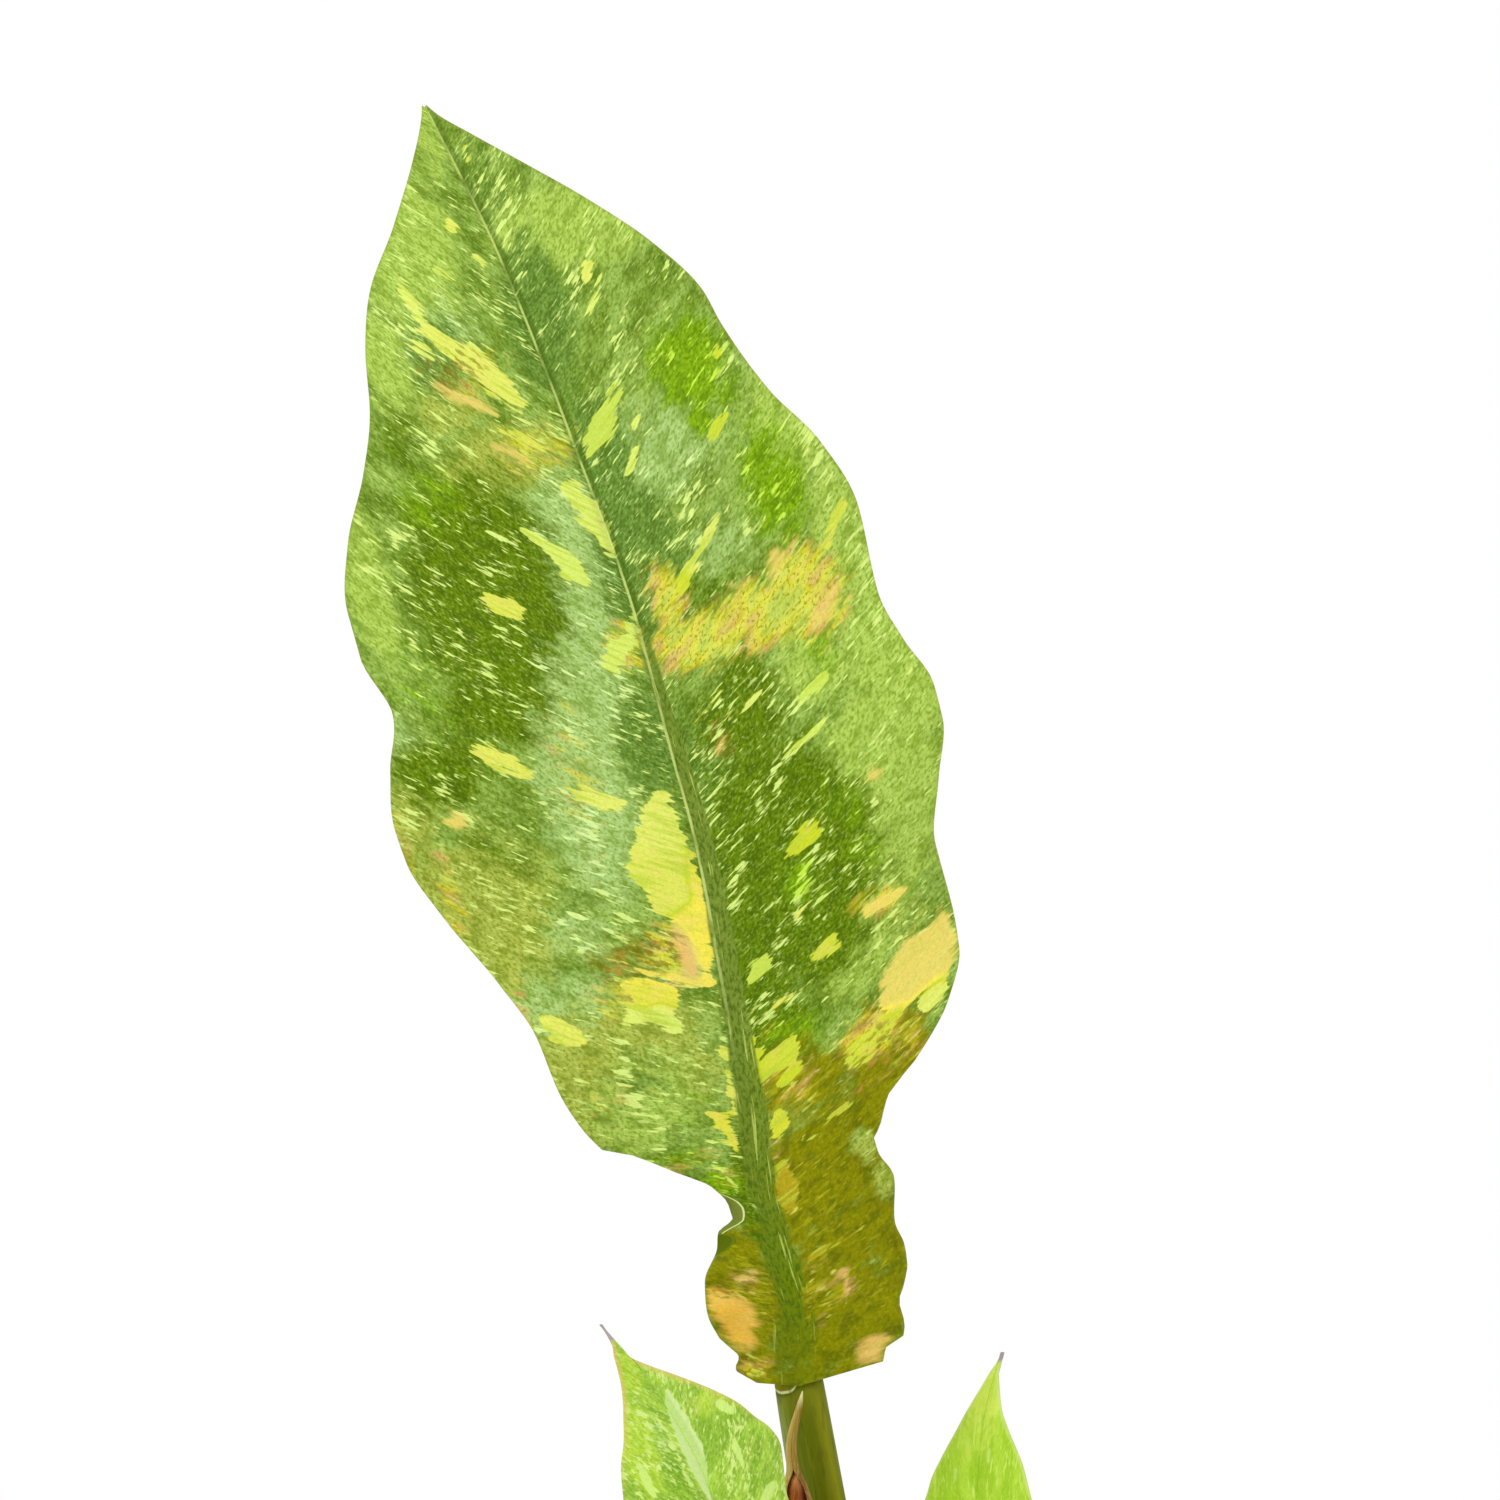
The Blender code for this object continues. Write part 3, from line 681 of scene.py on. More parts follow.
print("tall blade is", round(TALL["length"] / MM, 1), "mm long, with",
      sum(map(len, TALL["outlines"])), "margin points")

# %% Its marks, each with a name, how warm its yellow is, and its stroke
TALL["marks"] = (
    ("upper wedge", 0.34, ((-48, 833, 2.5), (-33, 816, 6), (-18, 797, 10), (-4, 775, 9),
     (8, 754, 4))),
    ("upper wedge tail", 0.15, ((-54, 873, 2), (-51, 857, 4), (-46, 839, 2.5))),
    ("leaf-shaped", 0.035, ((84, 748, 1.5), (75, 737, 4.5), (63, 722, 8.5), (54, 713, 7.5),
     (46, 704, 2.5))),
    ("upper dot", 0.3, ((85, 841, 4), (82, 835, 4.5))),
    ("under upper dot", 0.12, ((92, 831, 2), (82, 816, 3), (76, 805, 2.5))),
    ("flank dot", 0.53, ((151, 701, 3), (141, 691, 6))),
    ("flank dot high", 0.55, ((161, 758, 3), (159, 750, 4))),
    ("midrib wedge", 0.16, ((25, 686, 3.4), (32, 671, 9.5), (37, 653, 8.1), (41, 637, 5.4),
     (42, 627, 2))),
    ("tailed", 0.1, ((-16, 664, 1), (-3, 648, 2.5), (4, 639, 6), (11, 626, 8.5), (19, 613, 4))),
    ("left oval", 0.44, ((-58, 624, 2.5), (-50, 617, 6), (-43, 611, 6), (-35, 605, 2.5))),
    ("midrib lime high", 0.1, ((45, 578, 1.5), (37, 563, 5.5), (26, 557, 9), (20, 551, 7))),
    ("left bar", 0.4, ((-95, 517, 3), (-85, 509, 7), (-74, 498, 6), (-61, 486, 2.5))),
    ("middle bar", 0.3, ((-37, 469, 2.5), (-29, 462, 5.5), (-14, 454, 6), (-3, 448, 4.5))),
    ("pink dot left", 0.85, ((-123, 470, 5), (-119, 469, 5))),
    ("great patch line", 0.8, ((-45, 342, 1), (-17, 324, 2.5), (8, 309, 2.5), (23, 302, 1.5))),
    ("lower blotch", 0.66, ((-37, 317, 4.5), (-24, 305, 10), (-10, 302, 9))),
    ("lower blotch foot", 0.15, ((-40, 296, 5.5), (-20, 293, 7.5), (-11, 279, 5.5))),
    ("tan margin left", 0.38, ((-101, 310, 4), (-93, 301, 8.5), (-84, 292, 7))),
    ("midrib streak low", 0.4, ((18, 255, 1.5), (16, 231, 2.5), (13, 210, 2))),
    ("midrib wedge low", 0.6, ((-4, 211, 1.5), (1, 202, 5.5), (5, 192, 4.5), (6, 180, 1.5))),
    ("right bar high", 0.53, ((101, 375, 2.5), (111, 381, 6), (123, 388, 5.5), (131, 392, 2.5))),
    ("right bar low", 0.5, ((100, 299, 2.5), (109, 302, 4.5), (119, 307, 4))),
    ("right lime", 0.035, ((53, 298, 3), (61, 303, 6), (69, 309, 2.5))),
    ("pink dot right", 0.86, ((182, 417, 4.5), (181, 414, 4))),
    ("lime streak", 0.1, ((122, 444, 1), (149, 458, 2.5), (167, 471, 1.5))),
    ("lime streak high", 0.05, ((147, 482, 2.5), (157, 488, 4), (167, 494, 2.5))),
    ("low spot", 0.56, ((42, 199, 2.5), (43, 191, 5.5), (39, 183, 3))),
    ("ear orange", 1.0, ((-41, 81, 6), (-37, 74, 11), (-31, 63, 13.5), (-28, 51, 10),
     (-26, 42, 5))),
    ("ear pink", 0.95, ((52, 11, 4.5), (61, 11, 7), (70, 13, 4.5))),
    ("tip fleck", 0.15, ((22, 956, 2.5), (19, 950, 3))),
    ("tip fleck low", 0.35, ((-6, 905, 2.5), (-5, 899, 3))),
    ("tip fleck lower", 0.15, ((7, 874, 2.5), (10, 864, 3))),
    ("tip fleck left", 0.1, ((-25, 873, 1), (-18, 860, 1.5))),
    ("great patch top", 0.3, ((26, 445, 6.8), (20, 428, 14.3), (16, 408, 19.5))),
    ("great patch middle", 0.42, ((12, 398, 24), (15, 375, 19.5))),
    ("great patch edge", 0.74, ((32, 404, 3), (31, 380, 6.8), (30, 354, 6.8), (27, 328, 6),
     (25, 310, 2.3))),
    ("great patch foot", 0.7, ((21, 356, 11.3), (22, 333, 7.5))),
    ("tan margin right", 0.84, ((141, 252, 6), (158, 262, 15.8), (178, 275, 20.3), (192, 284, 15),
     (201, 301, 5.3))),
    ("tan margin lime", 0.25, ((184, 252, 6.8), (171, 245, 7.5))),
    ("right corner streak", 0.5, ((106, 218, 5.3), (123, 229, 7.5), (142, 239, 6),
     (154, 247, 3.8))),
    ("fork by midrib", 0.53, ((40, 256, 2.3), (39, 241, 5.3), (39, 227, 5.3))),
    ("fork middle", 0.5, ((46, 234, 8.3), (63, 240, 8.3), (69, 245, 3.8))),
    ("fork foot", 0.53, ((53, 218, 6), (65, 229, 6))),
    ("right edge stain", 0.82, ((147, 322, 3), (160, 325, 5.3), (176, 328, 3))),
    ("right dash", 0.3, ((95, 328, 1.5), (105, 334, 1.5))),
    ("right thread", 0.4, ((60, 272, 1.5), (70, 276, 2.3), (79, 280, 1.5))),
    ("band pink", 0.86, ((152, 581, 3), (159, 591, 4.5))),
    ("band orange", 0.88, ((170, 537, 2.1), (183, 546, 3.1), (197, 556, 2.1))),
    ("band arm high", 0.46, ((222, 623, 1.1), (214, 612, 3.4), (205, 600, 4.1), (196, 588, 2.6))),
    ("diagonal streak", 0.2, ((125, 633, 1.9), (111, 618, 3), (96, 602, 4.5))),
    ("diagonal streak foot", 0.55, ((94, 600, 4.5), (83, 587, 4.5))),
    ("thin streak", 0.15, ((90, 483, 0.8), (105, 491, 1.9), (119, 498, 1.1))),
    ("thin streak low", 0.15, ((65, 490, 1.1), (85, 502, 1.9), (99, 511, 1.1))),
    ("spot orange", 0.9, ((77, 466, 1.9), (83, 474, 2.3))),
    ("ear top", 0.92, ((-18, 87, 3.8), (-9, 87, 3.8))),
    ("ear spot", 0.93, ((56, 72, 1.8), (57, 65, 3.1), (56, 59, 1.8))),
    ("golden dash", 0.02, ((76, 184, 1.5), (86, 186, 2.6), (96, 189, 1.5))),
    ("golden dash low", 0.03, ((57, 173, 1.1), (67, 174, 2.2), (76, 177, 1.5))),
    ("mustard", 0.0, ((35, 162, 3), (34, 150, 7.5), (33, 137, 7.5), (32, 127, 3))),
    ("low vein", 0.0, ((37, 89, 1.1), (53, 92, 1.9), (69, 97, 2.2), (77, 100, 1.1))),
    ("low vein twig", 0.0, ((48, 157, 0.9), (56, 154, 1.5), (65, 156, 1.1))),
    ("waist lime", 0.12, ((-15, 174, 1.1), (-8, 166, 2.6), (-3, 157, 3.4), (-3, 150, 1.5))),
    ("pink streak", 0.87, ((-47, 788, 1.1), (-36, 774, 3), (-22, 764, 3.8), (-10, 753, 1.5))),
    ("pink streak low", 0.88, ((-19, 730, 1.5), (-9, 723, 3.4), (0, 712, 1.9))),
    ("cream streak", 0.45, ((-10, 740, 1.9), (5, 728, 3), (18, 716, 1.5))),
    ("pale fleck high", 0.2, ((-57, 824, 1.9), (-50, 816, 3.8), (-45, 809, 1.9))),
    ("pale dots beside rib", 0.15, ((81, 696, 1.5), (75, 687, 3.8), (70, 679, 1.5))),
    ("pale dots beside rib high", 0.15, ((92, 725, 1.5), (87, 719, 3), (84, 712, 1.5))),
    ("great patch orange", 0.95, ((11, 353, 3), (13, 335, 7.5), (14, 317, 7.5))),
    ("great patch yellow foot", 0.74, ((27, 339, 4.5), (23, 321, 6.8), (22, 304, 3.8))),
)
print("marks on the tall blade:", len(TALL["marks"]))

# %% Its broad tones, each oval with the name of its place
TALL["tones"] = dict(
    deep=(
        ("scallops", 100, 141, 18, 27, -0.9), ("above waist", 10, 171, 12, 20, 0.9),
        ("beside waist", 3, 131, 10, 26, 0.9), ("left flank", -56, 629, 53, 86, 1),
        ("left flank foot", -67, 546, 41, 38, 0.8), ("left shoulder", -82, 753, 20, 34, 0.5),
        ("left low flank", -124, 506, 41, 29, 0.8), ("beside sheen", -98, 440, 32, 41, 0.4),
        ("right heart", 105, 373, 64, 94, 1), ("right heart low", 54, 269, 29, 53, 1),
        ("right heart top", 95, 483, 38, 34, 0.8), ("under band", 109, 503, 26, 27, 0.8),
        ("upper right of rib", 95, 576, 24, 20, 0.6),
    ),
    # The pale tone: partly the margins' own lighter green, partly a painted reflection where they
    # tilt towards the light.
    pale=(
        ("under band side", 160, 504, 26, 27, 0.8),
        ("below waist margin", -62, 201, 34, 8, 0.6), ("right edge", 210, 604, 22, 45, 0.9),
        ("left foot", -51, 235, 45, 34, 0.7), ("upper right", 97, 879, 71, 36, 0.9),
        ("right shoulder", 195, 682, 30, 47, 0.9), ("right margin high", 222, 508, 36, 71, 1),
        ("right margin", 193, 416, 42, 71, 0.95), ("right margin low", 166, 347, 38, 38, 0.8),
        ("left margin", -137, 661, 17, 71, 0.9), ("upper left", -41, 890, 34, 64, 1),
        ("left edge", -78, 812, 17, 45, 0.9), ("tip", -4, 972, 12, 34, 0.7),
        ("right low", 126, 290, 38, 30, 0.7),
    ),
    # The sheen: a painted reflection of the white room in the glossy blade, above all beside the
    # midrib.
    sheen=(
        ("high", -7, 526, 20, 24, 0.9), ("scallops", 100, 141, 18, 27, -0.9),
        ("beside rib light", -6, 519, 20, 38, 1), ("beside rib", 22, 649, 36, 47, 0.9),
        ("beside rib mid", -3, 566, 35, 57, 1), ("beside rib low", -24, 465, 32, 86, 1),
        ("right of rib", 100, 691, 39, 47, 0.6), ("by the wedge", -35, 823, 30, 34, 0.5),
        ("right middle", 122, 614, 30, 30, 0.5), ("low grey", -88, 319, 53, 29, 0.6),
        ("foot of sheen", -60, 360, 34, 30, 0.5), ("left margin low", -147, 547, 20, 30, 0.5),
    ),
    olive=(
        ("scallop high", 97, 157, 8, 12, -0.6), ("scallop low", 105, 126, 8, 13, -0.6),
        ("right side high", 114, 177, 20, 20, 0.9), ("right side low", 96, 80, 16, 26, 0.9),
        ("right side", 89, 110, 20, 18, 0.8), ("rib foot", -1, 7, 26, 10, 1),
        ("left of rib foot", -19, 43, 14, 26, 0.8), ("right of rib", 37, 105, 14, 24, 0.9),
        ("left ear foot", -26, 22, 26, 15, 1), ("left ear edge", -33, 76, 10, 30, 0.8),
        ("corner foot", 123, 203, 22, 20, 0.8), ("right foot", 66, 124, 56, 90, 0.8),
        ("right foot high", 64, 209, 47, 45, 0.7), ("right ear", 42, 47, 60, 53, 1),
        ("left ear", -27, 86, 30, 47, 0.95), ("right corner", 137, 218, 34, 34, 0.8),
        ("brown streak", -33, 335, 39, 17, 0.5),
    ),
    scatter=(
        ("low left margin", -81, 265, 26, 22, 0.42), ("ear left", -19, 49, 15, 26, 0.5),
        ("lower left pale", -75, 243, 26, 11, 0.55), ("ear left high", -20, 82, 15, 18, 0.55),
        ("ear left foot", -28, 22, 15, 11, 0.8), ("corner brown", 130, 210, 15, 10, -0.7),
        ("lower left margin", -31, 181, 33, 10, 0.5), ("waist margin", -6, 162, 12, 10, 0.6),
        ("mustard", 34, 147, 8, 26, 0.8), ("rib right low", 34, 183, 9, 20, 0.5),
        ("left low margin", -143, 415, 12, 45, 0.6),
        ("left lower edge", -117, 323, 12, 38, 0.5), ("band by rib", 87, 547, 41, 23, 1),
        ("band arm", 72, 583, 18, 32, 0.9), ("band middle", 134, 553, 33, 30, 1),
        ("band core", 172, 560, 33, 39, 1), ("left shoulder", -22, 787, 38, 24, 0.5),
        ("left shoulder low", 13, 718, 38, 23, 0.6),
        ("beside rib lime", 33, 560, 20, 23, 0.75), ("right corner", 131, 227, 34, 27, 0.9),
        ("right foot", 58, 215, 30, 26, 0.6), ("foot of great patch", -1, 331, 23, 26, 0.8),
        ("under great patch", -41, 309, 36, 23, 0.6), ("sheen", -29, 481, 24, 64, 0.5),
        ("lower left", -81, 240, 53, 20, 0.35), ("ear", 39, 63, 34, 30, 0.5),
        ("left edge", -169, 461, 15, 45, 0.5), ("right stain", 160, 326, 30, 15, 0.6),
    ),
    blush=(
        ("ear foot", -29, 24, 16, 12, 0.7), ("under great patch", -21, 337, 36, 20, 0.75),
        ("right corner", 141, 223, 24, 18, 0.8), ("left shoulder", -32, 795, 30, 21, 0.6),
        ("spot", 81, 471, 9, 15, 0.9), ("left ear", -23, 86, 20, 11, 0.8),
        ("ear", 55, 62, 17, 14, 0.5), ("low left", -91, 232, 35, 11, 0.4),
        ("left edge", -173, 447, 14, 53, 0.5), ("corner foot", 110, 207, 20, 23, 0.6),
    ),
    emerald=(
        ("under band", 171, 515, 12, 18, 0.55), ("beside flank dot", 133, 705, 10, 14, 0.8),
        ("right of band", 107, 355, 20, 22, 0.5), ("scallops", 100, 141, 18, 27, -0.9),
        ("lower left margin", -42, 186, 38, 10, 0.5), ("waist margin", -12, 158, 16, 12, 0.8),
        ("ear top", -14, 100, 15, 18, 0.7), ("high", 137, 747, 32, 42, 0.75),
        ("side", 170, 643, 26, 51, 0.7), ("flank", -75, 704, 30, 30, 0.45),
        ("waist", -16, 202, 23, 41, 0.25), ("heart side", 154, 382, 20, 45, 0.4),
        ("low right", 74, 244, 30, 26, 0.5), ("foot of flank", -122, 570, 30, 30, 0.4),
    ),
    dusk=(
        ("left of rib top", 80, 791, 15, 24, -0.7), ("scallops", 100, 141, 18, 27, -0.9),
        ("beside rib top", 27, 930, 17, 39, 0.4), ("beside rib high", 40, 815, 27, 60, 0.9),
        ("beside rib", 57, 705, 21, 47, 0.9), ("right of rib", 61, 618, 32, 60, 1),
        ("left of rib", 33, 483, 26, 47, 0.9), ("by the wedge", -44, 812, 23, 35, 0.6),
        ("heart top", 62, 463, 23, 45, 0.6), ("lower left", -50, 242, 38, 38, 0.4),
        ("left upper middle", 8, 839, 20, 38, 0.3),
    ),
    straw=(
        ("scallops", 101, 140, 16, 26, 1), ("lower left", -81, 265, 86, 50, 1),
        ("left middle", -135, 395, 60, 60, 1), ("left edge", -162, 482, 30, 38, 0.8),
        ("left upper middle", -17, 719, 45, 30, 0.8), ("shoulder", -43, 765, 30, 23, 0.6),
        ("upper left", -36, 933, 20, 38, 0.4), ("right low", 140, 309, 45, 30, 0.5),
    ),
)
print("tones:", {tone: len(ovals) for tone, ovals in TALL["tones"].items()})

# %% Make the tall blade
tall_blade = make_blade("tall_blade", TALL)

# %% [markdown]
# ### The skin of a blade
#
# One function paints every blade, upper and lower face, each with its own colours. It lays the
# colours down in the order in which one would paint them: the ground green, the broad tones with
# a painted sheen among them, the fine pale streaks, the yellow marks, the flush of orange, the
# midrib with its painted highlight and groove shadow, and the margin with the painted shade and
# highlight of its curls.

# %% The leaf's values, and the ground colours
# The sheen is a painted reflection; the pale tone is partly one, along the margins.
TONE_LAYERS = (("straw", 7.0), ("pale", 13.0), ("sheen", 17.0), ("dusk", 21.0), ("deep", 27.0),
               ("emerald", 31.0), ("olive", 35.0))  # each tone with the seed of its torn border
TONE_TEAR = 0.9


def veined(tree, leaf, across, along, seed):
    """Noise drawn out along the side veins, changing this often a millimetre."""
    return use(tree, streaks, Vein=leaf["vein"], Across=across, Along=along, Seed=seed)["Raw"]


def read_leaf(tree, look):
    """What the mesh carries, by name, and two noises that several layers share."""
    vein_map = split(tree, add(tree, "ShaderNodeUVMap", uv_map="vein").outputs["UV"])
    leaf = {"out": vein_map["Y"], "midrib": join(tree, vein_map["Y"], vein_map["X"], 0.0)}
    if look["lengthwise"]:
        leaf["vein"] = leaf["midrib"]
    else:
        leaf["vein"] = join(tree, vein_map["X"], vein_map["Y"], 0.0)
    for name, keys in LEAF_VALUES.items():
        parts = split(tree, stored(tree, name))
        leaf.update(zip(keys, (parts["X"], parts["Y"], parts["Z"])))
    leaf["patchy"] = veined(tree, leaf, 0.70, 0.36, 37.0)
    leaf["gritty"] = veined(tree, leaf, 2.5, 1.7, 43.0)
    return leaf


def tone_mask(tree, leaf, tone, seed):
    """A soft tone whose border breaks up into streaks along the veins."""
    wide = veined(tree, leaf, 0.28, 0.11, seed)
    fine = veined(tree, leaf, 1.2, 0.34, seed + 2.0)
    comb = centred_sum(tree, fine, 0.8, wide)
    return ramp(tree, maths(tree, "MULTIPLY_ADD", comb, TONE_TEAR, leaf[tone]), 0.20, 0.70)


def lay_ground(tree, leaf, look):
    """The ground green, broad tones (one a painted sheen), darker cells and pale flecks."""
    mottle = ramp(tree, veined(tree, leaf, 0.30, 0.11, 3.0), 0.40, 0.60)
    ground, bright = paint(tree, mottle, look["dark"], look["green"]), look["fleck"]
    masks = {tone: tone_mask(tree, leaf, tone, seed) for tone, seed in TONE_LAYERS}
    for tone, mask in masks.items():
        ground = paint(tree, mask, ground, look[tone])
    # The flecks take the tint of the painted sheen, of the emerald and of the olive places.
    for tone in ("sheen", "emerald", "olive"):
        bright = paint(tree, masks[tone], bright, look[tone + "_fleck"])

    # Darker cells between the veins, coarse and then fine; calmer in the olive places.
    calm = maths(tree, "MULTIPLY_ADD", masks["olive"], -0.55, 1.0)
    shaded = paint(tree, look["contrast"], ground, look["shade"], mode="MULTIPLY")
    tissue = paint(tree, ramp(tree, leaf["patchy"], 0.56, 0.34, 0.0, 0.70), ground, shaded)
    speck = times(tree, ramp(tree, leaf["gritty"], 0.54, 0.32, 0.0, 0.85), calm)
    tissue = paint(tree, speck, tissue, shaded)
    lifted = paint(tree, 0.35, tissue, bright)
    tissue = paint(tree, ramp(tree, leaf["gritty"], 0.52, 0.72, 0.0, look["lift"]), tissue, lifted)

    # Light flecks: hairs, dashes and a few bold ones, more crowded in some places than in others.
    uneven = maths(tree, "SUBTRACT", veined(tree, leaf, 0.14, 0.10, 47.0), 0.5)
    crowd = times(tree, uneven, -0.42)
    for across, along, level, soft, strength, seed in look["flecks"]:
        limit = maths(tree, "ADD", crowd, level)
        layer = use(tree, streaks, Vein=leaf["vein"], Across=across, Along=along, Level=limit,
                    Soft=soft, Seed=seed)
        tissue = paint(tree, times(tree, layer["Mask"], strength, calm), tissue, bright)
    return tissue


print("broad tones, in the order they are laid:", ", ".join(tone for tone, _ in TONE_LAYERS))


# %% The yellow: scattered, in marks, and flushed with rust
MARK_EDGE = (0.13, 0.70)  # mm: how softly a clear yellow mark ends, and an orange one


def lay_scatter(tree, leaf, look, tissue):
    """Scattered yellow: a torn wash with small streaks over it, of changing colour."""
    drift = veined(tree, leaf, 0.42, 0.16, 67.0)
    drift = maths(tree, "MULTIPLY_ADD", leaf["scatter"], -0.22, drift)
    hue = colour_ramp(tree, ramp(tree, drift, 0.12, 0.52), look["scatter"])
    swing = maths(tree, "SUBTRACT", veined(tree, leaf, 0.9, 0.22, 71.0), 0.5)
    loose = maths(tree, "MULTIPLY_ADD", swing, 1.5, leaf["scatter"])
    wash = times(tree, ramp(tree, loose, 0.40, 0.95), look["wash"])
    tissue = paint(tree, wash, tissue, hue)
    cover = maths(tree, "MULTIPLY_ADD", leaf["scatter"], 0.40, veined(tree, leaf, 1.7, 0.36, 73.0))
    cover = times(tree, ramp(tree, cover, 0.76, 0.90), ramp(tree, leaf["scatter"], 0.05, 0.30),
                  look["scatter_strength"])
    tissue = paint(tree, cover, tissue, paint(tree, 0.35, hue, look["fleck"]))
    dots = times(tree, ramp(tree, leaf["gritty"], 0.48, 0.34), wash)
    return paint(tree, dots, tissue, look["scatter_shade"])


def lay_marks(tree, leaf, look, tissue):
    """The marks themselves, with the veins showing in them as greener lines."""
    warmth = leaf["warmth"]
    patch = colour_ramp(tree, warmth, look["marks"])
    comb = times(tree, ramp(tree, veined(tree, leaf, 1.5, 0.13, 51.0), 0.46, 0.66),
                 ramp(tree, warmth, 0.55, 0.80, 0.75, 0.2))
    patch = paint(tree, comb, patch, look["mark_streak"])
    gritty = ramp(tree, leaf["gritty"], 0.50, 0.30, 0.0, 0.30)
    patch = paint(tree, gritty, patch, look["mark_streak"])
    blot = maths(tree, "MULTIPLY_ADD", warmth, 0.16, veined(tree, leaf, 0.5, 0.30, 53.0))
    patch = paint(tree, times(tree, ramp(tree, blot, 0.62, 0.72), 0.25), patch, look["mark_blot"])
    soft = ramp(tree, warmth, 0.78, 0.88, *MARK_EDGE)
    mark = use(tree, torn, Field=leaf["inside"], Vein=leaf["vein"], Tear=look["tear"], Soft=soft,
               Seed=60.0)["Mask"]
    mark = times(tree, mark, ramp(tree, warmth, 0.76, 0.88, look["mark_cover"], 0.86))
    return paint(tree, mark, tissue, patch)


def lay_flush(tree, leaf, look, tissue):
    """A rusty blush, in broken streaks."""
    flush = maths(tree, "MULTIPLY_ADD", leaf["blush"], 0.24, veined(tree, leaf, 1.3, 0.50, 83.0))
    light = ramp(tree, veined(tree, leaf, 0.8, 0.30, 89.0), 0.50, 0.66)
    rusty = paint(tree, light, look["rust"], look["rust_light"])
    rust = times(tree, ramp(tree, flush, 0.62, 0.74), ramp(tree, leaf["blush"], 0.1, 0.6), 0.65)
    return paint(tree, rust, tissue, rusty)


print("marks end softly over", *MARK_EDGE, "mm, before they are torn")

# %% The midrib
BAND_ENDS = (0.50, 0.60)  # the mottled band fades out between these shares of the length, and the painted groove shadow comes in between these
GROOVE_SHADOW_STARTS = (0.46, 0.60)  # and the dark groove comes in between these
GROOVE_SHADOW_OUT = 0.62  # mm: how far right of the middle the painted groove shadow lies


def lay_midrib(tree, leaf, look, tissue):
    """A mottled band with pale threads below, a painted highlight and groove shadow above."""
    midrib, out, along = leaf["midrib"], leaf["out"], leaf["along"]
    fibre = use(tree, streaks, Vein=midrib, Across=2.2, Along=1.1, Seed=5.0)["Raw"]
    breaks = use(tree, streaks, Vein=midrib, Across=0.6, Along=0.16, Seed=8.0)["Raw"]
    threads = use(tree, streaks, Vein=midrib, Across=1.7, Along=0.10, Level=0.63, Soft=0.03,
                  Seed=6.0)
    rib = paint(tree, ramp(tree, along, 0.06, 0.30, 1.0, 0.0), look["rib"], look["rib_foot"])
    rib = paint(tree, ramp(tree, fibre, 0.58, 0.34, 0.0, look["rib_grain"]), rib, look["rib_dark"])
    rib = paint(tree, times(tree, threads["Mask"], look["rib_threads"]), rib, look["rib_thread"])
    ragged = times(tree, ramp(tree, breaks, 0.35, 0.65), ramp(tree, along, 0.08, 0.24, 0.5, 0.12))
    band = times(tree, ramp(tree, maths(tree, "SUBTRACT", leaf["band"], ragged), 0.05, 0.30),
                 ramp(tree, along, 0.01, 0.06, 0.4, 1.0),
                 ramp(tree, along, *BAND_ENDS, look["rib_strength"], 0.0))
    tissue = paint(tree, band, tissue, rib)
    # A painted shadow in the groove, just right of the midrib's middle, in the dark rib colour.
    groove = maths(tree, "ABSOLUTE", maths(tree, "SUBTRACT", out, GROOVE_SHADOW_OUT))
    groove = times(tree, ramp(tree, groove, 0.20, 0.75, 1.0, 0.0),
                   ramp(tree, along, *GROOVE_SHADOW_STARTS), look["groove"])
    tissue = paint(tree, groove, tissue, look["rib_dark"])
    shift = ramp(tree, along, 0.44, 0.60, 1.20, 0.0)  # the highlight lies left of the middle, lower down
    # A painted highlight along the midrib's ridge, broken along its length.
    ridge = maths(tree, "ABSOLUTE", maths(tree, "ADD", out, shift))
    ridge = times(tree, ramp(tree, ridge, 0.10, 0.32, 1.0, 0.0),
                  ramp(tree, breaks, 0.36, 0.56, 0.25, 1.0), ramp(tree, along, 0.22, 0.38),
                  look["ridge"])
    return paint(tree, ridge, tissue, look["rib_line"])


print("midrib band fades out between", *BAND_ENDS, "of the length")

# %% The margin, its curls and the drip tip
def lay_margin(tree, leaf, look, tissue):
    """A thin line of another colour along the margin, and the dried end of the tip."""
    edge = ramp(tree, leaf["rim"], 0.05, look["edge_reach"], look["edge_strength"], 0.0)
    edge = times(tree, edge, ramp(tree, leaf["along"], 0.80, 0.93, look["edge_low"], 1.0))
    tissue = paint(tree, edge, tissue, look["edge"])
    dry = ramp(tree, leaf["along"], look["tip"], look["tip"] + 0.006)
    return paint(tree, dry, tissue, look["tip_colour"])


def lay_curl(tree, leaf, look, tissue, centre, half, reach, back, line):
    """The left margin curls over: its back shows in a lens ending in a line, painted shade past it.
    """
    on_left = ramp(tree, leaf["out"], -2.0, -1.2, 1.0, 0.0)
    off = maths(tree, "DIVIDE", maths(tree, "SUBTRACT", leaf["along"], centre), half)
    lens = maths(tree, "MULTIPLY_ADD", times(tree, off, off), -reach, reach)
    past = maths(tree, "SUBTRACT", leaf["rim"], lens)
    here = times(tree, on_left, ramp(tree, lens, 0.0, 0.25))
    line_mask = ramp(tree, maths(tree, "ABSOLUTE", past), 0.08, 0.2, 1.0, 0.0)
    # First a painted shadow just past the line, then the curl's back, then its line.
    for mask, tint in ((ramp(tree, past, 0.1, 0.6, 0.5, 0.0), look["rib_dark"]),
                       (ramp(tree, past, -0.1, 0.0, 1.0, 0.0), colour(back)),
                       (line_mask, colour(line))):
        tissue = paint(tree, times(tree, here, mask), tissue, tint)
    return tissue


LAYERS = (lay_scatter, lay_marks, lay_flush, lay_midrib)  # over the ground, in this order


